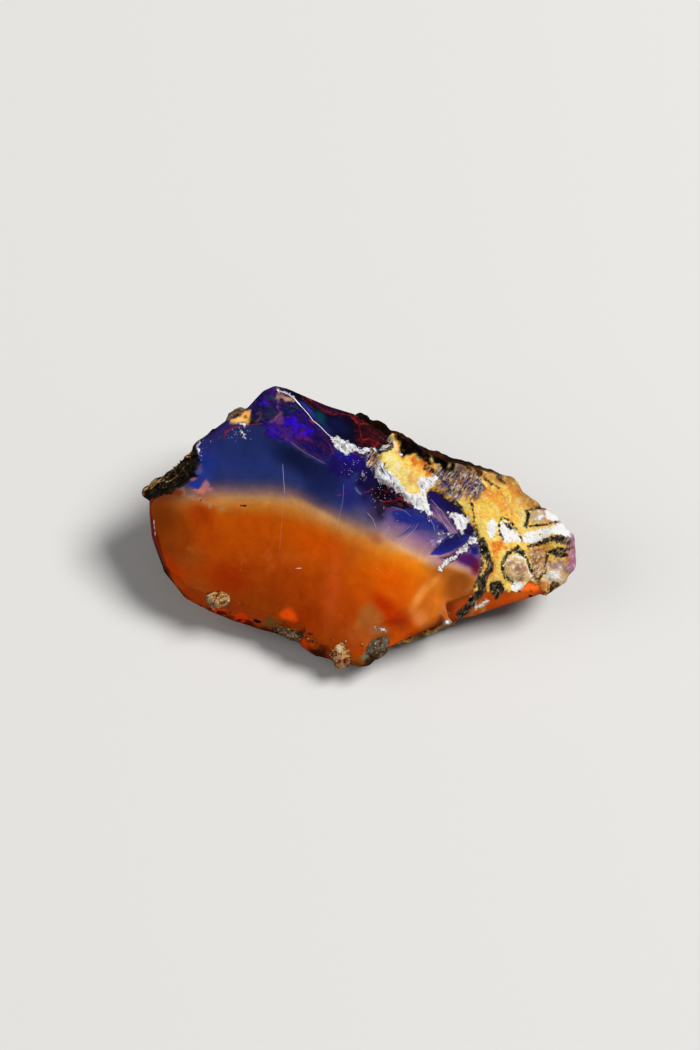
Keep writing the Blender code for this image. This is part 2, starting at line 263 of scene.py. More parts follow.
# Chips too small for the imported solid
NICKS = (
    Blob("ridge_bruise", (-3.2, 9.2, 0.35), (1.7, 0.75, 0.9), -18),
    Blob("rind_notch", (2.6, 3.6, 0.35), (2, 0.85, 0.8), -12),
    Blob("skin_pit", (1.4, 6.9, -0.4), (0.45, 0.4, 0.7)),
    Blob("left_nick", (-24, -3.4, 0.3), (0.7, 1, 0.7)),
    Blob("corner_nick", (-19.4, -9.6, 0.4), (1.3, 0.6, 0.9), -40),
    Blob("bottom_nick", (-11.2, -12.2, 0.3), (1.2, 0.5, 0.8), -8),
    Blob("bottom_nick_right", (-1.8, -14.4, 0.3), (1, 0.6, 0.8), -20),
    Blob("lens_flake", (9.2, 0.5, 0.15), (0.9, 0.35, 0.4), 30),
)

PEBBLES = (
    Blob("grain_pebble", (-14.6, -10.7, -0.5), (1.35, 0.95, 1.15), 16, 0.14),
    Blob("bottom_pebble", (0.3, -14.6, -0.9), (1.2, 1.65, 1.3), 8, 0.18),
    Blob("bottom_right_pebble", (4, -13.3, -1.2), (1.9, 1.15, 1.3), 40, 0.16),
    Blob("bottom_crust", (-5.6, -13.2, -1.7), (1.9, 0.8, 1), -6, 0.2),
    Blob("shoulder_pebble", (-15.9, 10.2, -1.1), (1.35, 0.8, 0.9), 40, 0.15),
)

# Domes and pits in the skin: the middle of each, its radius and its height, negative for a pit
MARKS: tuple[tuple[Point3, float, float], ...] = (
    ((18, -1.6, -1.9), 1.5, 0.55),
    ((20.6, 4, -3.4), 1.9, 0.35),
    ((21.9, 2.2, -3.8), 1.2, 0.5),
    ((15.2, 3.2, -0.9), 1.4, 0.4),
    ((16.8, 2.5, -1.3), 0.75, -0.8),
    ((16.3, -4.3, -1.4), 0.9, -0.6),
    ((20.4, 0.8, -2.9), 0.9, -0.55),
    ((22.8, -1.4, -4), 1, 0.4),
    ((4, 6.6, -0.7), 1.3, 0.4),
    ((9.2, 7.4, -2.2), 1.1, -0.6),
    ((12.6, 6, -2.3), 1.5, 0.45),
    ((-8, 9.5, -16), 1.7, -1),
    ((6, 9.5, -13), 2.6, 0.9),
    ((-16, 6, -11), 2.4, 0.8),
    ((18, 3, -12), 1.6, -0.9),
    ((-1, 12.6, -8), 2.4, 0.8),
)

# ---- areas and lines on the stone


@dataclass(frozen=True)
class Patch:
    """A closed area, drawn square on to the window, in mm. Positive depth is inside it."""

    outline: Path
    grow: float = 0.0

    def depth(self, x: np.ndarray, y: np.ndarray) -> np.ndarray:
        """Measures how far inside the patch points are.

        Args:
            x: Places along the stone, in mm.
            y: Places up the window, in mm.

        Returns:
            Distance from its edge in mm, negative outside.
        """
        nearest = np.full(len(x), np.inf)
        inside = np.zeros(len(x), bool)
        for (ax, ay), (bx, by) in zip(self.outline, self.outline[1:] + self.outline[:1]):
            dx, dy = bx - ax, by - ay
            along = np.clip(((x - ax) * dx + (y - ay) * dy) / (dx * dx + dy * dy), 0.0, 1.0)
            nearest = np.minimum(nearest, np.hypot(x - ax - along * dx, y - ay - along * dy))
            if ay != by:
                crosses = (ay > y) != (by > y)
                inside ^= crosses & (x < ax + (y - ay) * dx / dy)
        return np.where(inside, nearest, -nearest) + self.grow


@dataclass(frozen=True)
class Line:
    """A line drawn square on to the window, in mm, of a real width."""

    path: Path
    width: float
    strength: float = 1.0

    def across(self, x: np.ndarray, y: np.ndarray) -> tuple[np.ndarray, np.ndarray]:
        """Where points are beside the line.

        Args:
            x: Places along the stone, in mm.
            y: Places up the window, in mm.

        Returns:
            The signed distance to the line's left, and how far past either of its ends, in mm.
        """
        best = np.full(len(x), np.inf)
        side = np.zeros(len(x))
        past = np.zeros(len(x))
        last = len(self.path) - 2
        for i, ((ax, ay), (bx, by)) in enumerate(zip(self.path, self.path[1:])):
            dx, dy = bx - ax, by - ay
            length = math.hypot(dx, dy)
            along = ((x - ax) * dx + (y - ay) * dy) / length
            held = np.clip(along, 0.0, length)
            away = np.hypot(x - ax - held * dx / length, y - ay - held * dy / length)
            nearer = away < best
            best = np.where(nearer, away, best)
            over = np.maximum(-along if i == 0 else 0.0, along - length if i == last else 0.0)
            over = np.maximum(over, 0.0)
            beside = np.sqrt(np.maximum(away**2 - over**2, 0.0))
            side = np.where(nearer, np.copysign(beside, (y - ay) * dx - (x - ax) * dy), side)
            past = np.where(nearer, over, past)
        return side, past

    def depth(self, x: np.ndarray, y: np.ndarray) -> np.ndarray:
        """Distance of points from the line's edge, positive on the line, in mm."""
        side, past = self.across(x, y)
        return self.width / 2 - np.hypot(side, past)


Area = Patch | Line


def union(areas: Iterable[Area], x: np.ndarray, y: np.ndarray) -> np.ndarray:
    """Depth inside the nearest of several areas, in mm."""
    return np.maximum.reduce([area.depth(x, y) for area in areas])


# The skin's inner edge is followed; the rest of its outline lies outside the stone
SKIN_EDGE = Patch((
    (1.6, 13.5), (1.7, 10.4), (0.9, 9.4), (0.5, 8.6), (0.7, 7.9), (0.6, 7.2), (0.5, 6.7), (0.8, 6.1),
    (1.2, 5.6), (2.3, 5.3), (2.9, 5), (4.1, 4.7), (4.6, 4.2), (5.2, 3.8), (5.9, 3.4), (7.1, 3),
    (7.9, 2.6), (7.7, 3.2), (7.2, 3.9), (6.9, 4.8), (7, 5.5), (8, 5.6), (8.5, 5.4), (9.4, 4.8),
    (10.5, 4.3), (11.5, 3.4), (12.2, 2.7), (12.8, 2.1), (13.4, 0.9), (13.8, 0.1), (14.1, -0.8),
    (14.4, -2.2), (14.2, -3.4), (14, -4.2), (13.8, -5.2), (13.2, -6.4), (12.5, -7.8), (12.4, -20),
    (30, -20), (30, 20), (1.6, 20),
))
CRUST_EDGE = Patch((
    (-18.2, 8.2), (-19, 7.6), (-19.6, 6.8), (-19.9, 6.1), (-19.6, 5.4), (-19.1, 4.6), (-19.4, 3.8),
    (-19.6, 3.1), (-19.2, 2.7), (-20, 2.3), (-20.7, 1.4), (-21.6, 0.9), (-21.8, 0.4), (-22.6, 0.2),
    (-23.4, -0.4), (-24, -0.7), (-24.4, -1.2), (-28, -1.2), (-28, 14), (-18.2, 14),
))
RED_STRIP = Patch((
    (12.6, -8), (13.2, -7.9), (14.3, -7.1), (14.9, -6.3), (15.4, -5.6), (16.2, -5.3), (17, -5.7),
    (17.6, -5.1), (18.9, -4.4), (19.7, -3.5), (20.1, -2.9), (21, -3.1), (21.4, -2.9), (21.7, -4.3),
    (20.1, -5.6), (16.9, -8.4), (13, -10),
))
# Outlines that an area shares with the wash of colour under it
VIOLET_SKIN: Path = (
    (6.7, 6.9), (7.9, 7.8), (9.4, 8), (10.6, 8), (12.6, 7.6), (12.9, 6), (12.7, 5.2), (11.4, 5.2),
    (10.3, 4.7), (9.3, 5.2), (8, 5.9),
)
TIP_FLAKES: Path = ((19.3, 0.5), (20.5, 1.1), (21.5, 0.6), (21.5, -1.2), (20.9, -2.5), (20.1, -1.7))
DARK_CLEFT: Path = ((0.7, 4.8), (1.6, 5.1), (2.5, 4.5), (2.7, 3.1), (2.4, 1.5), (1.8, 1.5), (0.7, 3.8))
BLACK_GLASS: Path = (
    (1, 4.9), (2.1, 5.3), (4.2, 4.7), (4.7, 3.9), (5.5, 3.4), (4.5, 3), (3.1, 2.8), (2.4, 2.9), (1.2, 3.8),
)
RED_BEVEL: Path = ((-2.4, 12.4), (-0.9, 12.6), (0.5, 12.2), (1.7, 10.8), (0.8, 9.8), (-1, 9.3), (-2, 10.2))
BEVEL_EDGE: Path = ((-9.2, 14.6), (-8.8, 13.5), (-5, 12.2), (-3.2, 12.4), (-3, 14))

SKIN_DEPTH = 4.4  # the walls are bare glass down to about this depth, and skin behind it
FRONT_DEPTH = 5.4  # what is drawn on the front fades out this far behind the window

# White, crushed glass along the ridge, beside the skin and round the chips, with painted highlights: the
# glints on the ridge and chip edges
BRUISES_AND_GLINTS: tuple[Area, ...] = (
    Line(((-11.9, 13.9), (-11.1, 13.8), (-10.6, 13.7), (-9.9, 13.4)), 0.2),
    Patch(((-4.9, 9.7), (-4.2, 9.8), (-3.5, 9.6), (-2.8, 9.35), (-2.1, 9), (-1.4, 8.9), (-0.6, 9.05),
        (-0.6, 8.5), (-1, 8.25), (-1.6, 8.35), (-2.4, 8.45), (-2.8, 8.1), (-3.1, 7.8), (-3.7, 8.25),
        (-4.1, 8.5), (-4.5, 9))),
    Line(((-0.5, 8.8), (-0.2, 9.1), (0.3, 9.05)), 0.3),
    Line(((0.8, 9), (1, 9.25), (1.5, 9.45)), 0.32),
    Patch(((0.5, 6.6), (0.5, 7.2), (0.7, 7.7), (1.1, 7.6), (1.6, 7.2), (2, 6.7), (2.6, 6.3), (3.3, 5.8),
        (4.1, 5.1), (4.9, 4.6), (5.6, 4.6), (6.1, 5.1), (6.3, 5.8), (6.8, 4.9), (7.3, 3.9), (7.7, 3.2),
        (8, 2.7), (7.6, 2.5), (7.1, 2.9), (6.5, 3), (5.9, 3.2), (5.2, 3.6), (4.6, 4), (4.1, 4.5),
        (3.3, 4.7), (2.9, 5.1), (2.3, 5.1), (1.7, 5.2), (1.1, 5.6), (0.6, 6.1))),
    Patch(((5.7, 6.6), (6.7, 6.9), (7.8, 6.9), (7.3, 6), (6.9, 5.4), (6.6, 4.7), (5.9, 5.1))),
    Patch(((9.6, 3.3), (10.8, 3.4), (11.9, 3.15), (12.1, 2.7), (11.9, 1.9), (11.5, 1.2), (10.9, 1.8),
        (10.3, 2.5))),
    Patch(((8.7, -0.2), (9.5, 0.35), (9.4, -0.2), (9, -0.4))),
    Line(((9, 0.7), (9.8, 0.85), (10.5, 0.75)), 0.22),
    Line(((9.8, -3.1), (10.1, -2.6), (10.6, -2), (11.2, -1.55)), 0.5),
    Line(((11.5, -0.95), (11.9, -0.55), (12.35, -0.3)), 0.55),
    Patch(((12.2, 0.05), (12.7, 0.8), (12.95, 1.6), (13.3, 0.9), (13.5, 0.3), (12.9, 0.35))),
    Line(((-15.7, 9.35), (-15.1, 9.45), (-14.5, 9.4)), 0.3),
    Line(((-15.2, 8.8), (-14.8, 8.3), (-14.5, 7.9)), 0.14),
    Line(((3.6, -11), (4.2, -10.95), (4.8, -11.1)), 0.2),
    Line(((11.4, -9.1), (12.2, -8.7), (12.6, -8.6)), 0.5),
    Patch(((19.1, 4.5), (19.9, 4.9), (20.8, 4.9), (21.2, 4.2), (20.4, 3.7), (19.3, 3.5))),
)

# Black manganese stain, as patches and rings in the skin
STAINS: tuple[Area, ...] = (
    Line(((12.7, 2.3), (13.1, 1.7), (13.6, 0.7), (13.9, 0)), 0.24),
    Line(((13.8, 0.6), (14.1, 0.1), (14.5, -0.7), (14.9, -1.2), (15.3, -2), (15, -2.8), (14.7, -3.4)),
        0.8),
    Line(((14.7, -3.4), (14.6, -4.1), (14.8, -4.7), (14.5, -5.4), (14, -6.4), (13.6, -7.2), (13, -7.9)),
        0.95),
    Line(((14.3, -1.2), (14.4, -2.4), (14.1, -3.6), (13.9, -4.6)), 0.16),
    Line(((20.6, 1.5), (21.6, 1.9), (22.6, 2), (23.2, 2.1)), 0.5),
    Line(((21.8, 0.9), (22.4, 0.6), (23.1, 0.7), (23.4, 0.8)), 0.6),
    Line(((21.4, 0.7), (22.2, 1.4), (23, 1.3), (23.6, 1.5)), 0.35),
    Line(((19.2, 0.8), (19.9, 1.2), (20.8, 1.5)), 0.3),
    Line(((16.6, -2), (16.5, -1.2), (16.8, -0.4), (17.4, 0.1), (18, 0.4)), 0.34),
    Patch(((17.5, 0), (17.9, 0.8), (18.3, 0.6), (18.8, 0.3), (19.2, -0.5), (18.8, -0.3), (18.2, -0.1))),
    Line(((18.7, 0.2), (19.2, -0.4), (19.8, -1.4), (20.4, -2.3), (21, -2.7)), 0.32),
    Line(((16.5, -1.8), (16.7, -2.3), (17.2, -2.9), (17.9, -3.2), (18.3, -3.5)), 0.32),
    Line(((21.4, 0.5), (21.4, -0.6), (21.5, -1.6), (21, -2.5)), 0.26),
    Patch(((15.5, -3.8), (16.1, -3.5), (16.7, -3.3), (17.2, -3.8), (17.5, -4.5), (17, -5.2), (16.8, -5.6),
        (16.3, -5.2), (15.8, -4.7))),
    Line(((18.4, 4.8), (18.7, 4.2), (18.7, 3.6), (18.6, 3)), 0.4),
    Line(((18.4, 4.8), (19, 5.05), (19.6, 5.3), (20.4, 5.35)), 0.36),
    Line(((18.7, 3.1), (19.6, 3.15), (20.9, 3.5), (21.9, 3.8)), 0.26),
    Line(((16.2, 1.1), (15.7, 1.7), (15.45, 2.4), (15.4, 3), (15.7, 3.5), (16.4, 3.45), (17, 3)), 0.22),
    Patch(((15.95, 3), (16.3, 3.05), (16.8, 2.8), (17.3, 2.3), (16.9, 2.25), (16.3, 2.5))),
    Line(((17, 3), (17.7, 2.4), (18.2, 1.7), (18.4, 1.2)), 0.2),
    Line(((13, 7.6), (13.4, 7.4), (13.8, 7.1)), 0.34),
    Line(((14, 7.1), (14.4, 6.9), (14.8, 6.7)), 0.2),
    Line(((14.5, 7.8), (15, 7.4), (15.3, 7.3)), 0.22),
    Patch(((6, 8.1), (6.9, 7.9), (7.9, 7.5), (8, 7.1), (6.9, 7.3), (6.2, 7.7))),
    Line(((5.5, 7.6), (6.3, 7.6), (6.9, 7.3)), 0.14),
    Line(((1.25, 7.35), (1.6, 7.05)), 0.42),
    Patch(((0.2, 8.5), (0.5, 9), (1.4, 9.5), (1.7, 10.2), (2.2, 9.4), (1.6, 8.7), (0.9, 8.4))),
    Line(((11.7, 4.9), (12, 4.3), (12.4, 3.4), (12.6, 2.6)), 0.24),
    Line(((9.4, 4.9), (10.4, 4.5), (11.3, 3.9)), 0.26),
    Line(((21.7, -4.3), (22.2, -3.8), (22.4, -2.9), (22.9, -2.5)), 0.36),
)

# Bone-white porcellaneous opal in the skin
CHALKS: tuple[Area, ...] = (
    Patch(((18.4, 1.4), (18.6, 2.1), (19.4, 2.5), (21.6, 3.2), (22.5, 3.8), (23.4, 2.9), (23, 2.2),
        (21.5, 2.4), (19.6, 1.4)), 0.12),
    Patch(((20.6, 5), (21, 5.3), (21.7, 4.7), (22.3, 3.9), (20.9, 4.2)), 0.16),
    Patch(((14.3, 2.6), (14.6, 3.1), (15, 2.7), (15.1, 1.8), (14.9, 1.1), (14.6, 1.1), (14.3, 1.9)), 0.1),
    Patch(((15.5, 2.8), (16, 3.3), (16.7, 3), (17.3, 2.4), (17.8, 2.2), (18.3, 1.5), (18, 0.9),
        (16.4, 0.8), (15.8, 1.4))),
    Patch(((21.9, -1.3), (22.8, -1.2), (23.2, -1.7), (22.7, -2.2), (22, -2))),
    Patch(((18, -4), (18.3, -3.3), (19, -3.1), (19.6, -3.2), (19.5, -3.8), (18.7, -4.2))),
    Line(((16.95, -0.95), (17.5, -0.4), (18.2, -0.3), (18.9, -0.4), (20.5, -2.8)), 0.2),
    Line(((14.6, -6.9), (15.7, -5.9)), 0.3),
    Line(((1.6, 10.4), (3.1, 8.6)), 0.14),
    Line(((-19.6, 6.7), (-19.75, 6.1), (-19.3, 5.1)), 0.16),
)

# Streaks of white, gold, violet and black glass crowded together in the skin
CRACKLES: tuple[Area, ...] = (
    Patch(VIOLET_SKIN),
    Patch(((-0.7, 9), (0.2, 9), (0.8, 8), (0.3, 6.6), (-0.4, 7.2))),
    Patch(TIP_FLAKES),
)

# Dusted with pale specks
DUSTS: tuple[Area, ...] = (
    Patch(DARK_CLEFT, 0.2),
    Patch(((-3.4, 7.8), (-0.6, 8.4), (0.4, 7.2), (0.6, 5.4), (-1.2, 5.2), (-3.2, 5.6))),
    Patch(((-20.2, 6), (-19.6, 7.2), (-18.2, 7.2), (-18.4, 5.2), (-19.6, 4.8))),
    Patch(((-17.2, 8.4), (-16, 9.2), (-14, 9.2), (-13.6, 7.6), (-16.2, 7.4))),
    Patch(((7.8, 0.4), (9.4, 1.2), (10.6, 1), (9.4, -0.4), (8.2, -1.2), (7.6, -0.6))),
    Patch(((3.6, 2.4), (4.6, 2.4), (4.4, 0.4), (3.2, -0.2), (2.6, 0.6))),
)

# Dark glass with a net of fine red cracks
NETS: tuple[Area, ...] = (
    Patch(RED_BEVEL, 0.4),
    Patch(BEVEL_EDGE),
    Patch(BLACK_GLASS),
    Patch(((-5.2, 9.3), (-4.6, 9.3), (-4.2, 8), (-4.6, 7.6), (-5.2, 8.2))),
)

# Facets where the glass breaks light into colour
FIERY: tuple[Area, ...] = (
    Patch(((-12, 14.6), (-14.6, 12), (-14.4, 10.4), (-13, 9.9), (-12.6, 9.2), (-11.8, 8.4),
        (-9.7, 8), (-7.9, 7.7), (-5.4, 6.5), (-4.4, 8.3), (-4.8, 9.6), (-7.4, 11.5), (-9.1, 12.6),
        (-10.2, 13.6))),
)

# Fire-red cracks deep in the dark glass
EMBERS = (
    Line(((-3.2, 12.5), (-2.2, 11.8), (0.2, 12)), 0.22, 0.4),
    Line(((-3.5, 12.6), (-2.5, 12.6), (-0.5, 12.2)), 0.14, 0.4),
    Line(((-2.1, 11.8), (-1.4, 9.9)), 0.14, 0.35),
    Line(((-1.3, 9.6), (-1.2, 10), (-0.7, 10.2), (0.5, 9.9), (0.2, 9.5)), 0.24, 0.4),
    Line(((-8.8, 13.4), (-7.5, 12.6)), 0.12, 0.25),
    Line(((-8.6, 13.8), (-6.1, 12.6), (-5.3, 12.5), (-4.3, 12.6), (-3.2, 12.5)), 0.12, 0.25),
    Line(((-6.6, 12.6), (-5.8, 12.3), (-4.9, 12.3)), 0.12, 0.35),
    Line(((0.2, 12), (0.9, 11.6), (1.5, 10.9), (1.8, 10.2)), 0.16, 0.6),
    Line(((-8.3, 8.9), (-7, 8.8)), 0.12, 0.45),
    Line(((-7.5, 11.1), (-7.1, 10.9), (-6.9, 11.1)), 0.2, 0.7),
    Line(((-5.1, 9), (-4.4, 7.9)), 0.16, 0.6),
    Line(((-2.1, 8.2), (-0.9, 8)), 0.1, 0.7),
    Line(((2.3, 3.4), (3.2, 3.6), (4, 4), (4.1, 4.5)), 0.14, 0.8),
    Line(((2.6, 2.6), (3.4, 2.6), (4.3, 2.8)), 0.12, 0.8),
    Line(((0, 4.1), (0.4, 4.2), (0.6, 4.6)), 0.14, 0.6),
    Line(((-3.1, 3.2), (-2.2, 3.6)), 0.12, 0.6),
    Line(((4.2, 3.9), (5.4, 3.3)), 0.1, 0.6),
    Line(((3, 5.1), (4, 4.3)), 0.1, 0.7),
    Line(((-17.4, 7.5), (-16.4, 8.5), (-15.6, 9.05), (-14.5, 9.3), (-13.9, 9.6), (-13.1, 9.8)), 0.12, 0.5),
    Line(((-16, 8.8), (-16.5, 8.5), (-16.8, 8.1), (-16.9, 7.7)), 0.26, 0.5),
)

# Healed cracks, scratches and curved flake scars, pale and hair-thin; the two lines along the ridge and the
# dots on the left rim are painted glints
HAIRLINES_AND_GLINTS = (
    Line(((-11.4, 13.85), (-10.6, 13.7), (-9.9, 13.4), (-8.9, 12.6)), 0.11, 1),
    Line(((-8.9, 12.6), (-8, 11.9), (-7.3, 11.2), (-6.4, 10.7), (-5.5, 10), (-4.8, 9.6)), 0.055, 1),
    Line(((-9.1, 8.2), (-8, 7.6), (-5.2, 6.55)), 0.1, 0.07),
    Line(((-9.8, 5.5), (-9.1, 2.6)), 0.085, 0.22),
    Line(((-9.1, 2.6), (-8.9, -0.5), (-8.6, -3.8)), 0.1, 0.03),
    Line(((-2.6, 4.4), (-2.4, 2.7), (-2.6, -0.6)), 0.1, 0.08),
    Line(((0.7, 1.7), (1.3, 1.2), (1.7, 0.5)), 0.12, 0.16),
    Line(((4.9, -1.1), (5.5, -0.1), (6.1, 0.7), (6.4, 1.4)), 0.1, 0.12),
    Line(((4.1, -0.6), (4.9, 0.2), (5.6, 1.1)), 0.08, 0.08),
    Line(((7.7, 2.2), (8.2, 1.7), (8.4, 1.2)), 0.1, 0.16),
    Line(((3.4, 2.9), (4.8, 2.7), (5.4, 2.3)), 0.1, 0.1),
    Line(((-1.15, 4.3), (-0.9, 4), (-0.6, 3.85)), 0.3, 0.08),
    Line(((7.6, 4.4), (8.9, 3.4), (10.1, 2), (11.3, 0.9)), 0.1, 0.14),
    Line(((8.2, 3.4), (10.5, 0.8)), 0.1, 0.14),
    Line(((-23.2, -3.2), (-23.18, -3.3)), 0.14, 0.6),
    Line(((-23.05, -3.75), (-23.03, -3.82)), 0.14, 0.6),
    Line(((-22.88, -4.4), (-22.86, -4.5)), 0.16, 0.7),
    Line(((-19.1, 4.5), (-19.6, 3.3)), 0.1, 0.25),
    Line(((-0.7, 6.3), (-0.5, 6.1), (-0.4, 5.8), (-0.7, 5.8), (-0.8, 6.1), (-0.7, 6.3)), 0.12, 0.18),
    Line(((-6.15, -5.7), (-6.05, -5.68)), 0.12, 0.6),
)

# Black iron specks
FLECKS: tuple[Area, ...] = (
    Line(((-13.75, 0.25), (-13.45, 0.25), (-13.15, 0.36)), 0.24),
    Line(((-18.45, 0.12), (-18.25, 0.16)), 0.14),
    Line(((-19.45, 0.03), (-19.35, 0)), 0.12),
    Line(((-10.1, -12.35), (-9.8, -12.5), (-9.5, -12.45)), 0.34),
    Line(((-6.8, -12), (-6.7, -12.05)), 0.16),
    Line(((-6.2, -11.3), (-6.1, -11.4)), 0.12),
    Line(((-6.9, -11), (-6.8, -11)), 0.1),
    Line(((-5.1, -13.1), (-4.9, -13.3)), 0.3),
    Line(((20.45, -4.4), (20.7, -4.5)), 0.26),
    Line(((20.4, -3.85), (20.6, -3.95)), 0.2),
    Line(((19.2, -4.2), (19.3, -4.3)), 0.14),
)

# ---- soft colour in the glass


@dataclass(frozen=True)
class Cloud:
    """A soft ellipse of colour."""

    hue: str
    centre: Point2
    radii: Point2
    turn: float = 0.0
    strength: float = 1.0
    soft: float = 0.8
    ragged: float = 0.0

    def amount(self, x: np.ndarray, y: np.ndarray) -> np.ndarray:
        """Finds how strongly the cloud covers points.

        Args:
            x: Places along the stone, in mm.
            y: Places up the window, in mm.

        Returns:
            Shares from 0 to 1.
        """
        turn = math.radians(self.turn)
        dx, dy = x - self.centre[0], y - self.centre[1]
        along = (dx * math.cos(turn) + dy * math.sin(turn)) / self.radii[0]
        over = (dy * math.cos(turn) - dx * math.sin(turn)) / self.radii[1]
        return self.strength * smoothstep(1.0 + self.soft, 1.0 - self.soft, np.hypot(along, over))


@dataclass(frozen=True)
class Panel:
    """An area of colour with its own outline."""

    hue: str
    outline: Path
    strength: float = 1.0
    soft: float = 0.2
    ragged: float = 0.0

    def amount(self, x: np.ndarray, y: np.ndarray) -> np.ndarray:
        """How strongly the panel covers each point, from 0 to 1."""
        return self.strength * smoothstep(-self.soft, self.soft, Patch(self.outline).depth(x, y))


Wash = Cloud | Panel

# The front of the glass is blue above this line and orange below it
BAND_LINE = Line((
    (-27, -0.8), (-24.3, -0.5), (-21.7, 1), (-19.8, 1.7), (-17.4, 2.3), (-14.1, 2.8), (-10.6, 3.35),
    (-7.7, 3.35), (-5, 2.6), (-1.8, 1.45), (1.6, 0.25), (4.2, -0.75), (7.9, -1.9), (11.6, -2.4),
    (13.8, -3.1), (30, -6),
), 0)
# Colour by height above that line in mm, at the left and at the right of the window
LEFT_GRADE = (
    (7, "#262f60"), (2, "#2e3c7e"), (0.6, "#323c72"), (0, "#4a4668"), (-0.5, "#6e5664"),
    (-1, "#8c6c66"), (-1.6, "#b28a5e"), (-2.2, "#c2843e"), (-3, "#bc7222"), (-4, "#bc5e06"),
    (-6, "#b85404"), (-9, "#ac4806"), (-12, "#9a4007"), (-16, "#8a3a08"),
)
RIGHT_GRADE = (
    (6, "#2a265e"), (3.8, "#343c86"), (2.6, "#5c5088"), (1.6, "#8a6a96"), (0.8, "#aa8490"),
    (0, "#c29a90"), (-0.5, "#dcae80"), (-1, "#dc9e4a"), (-1.6, "#dc8a22"), (-2.4, "#da7c0e"),
    (-4, "#d66c08"), (-6, "#d06008"), (-9, "#c05208"), (-16, "#a84410"),
)

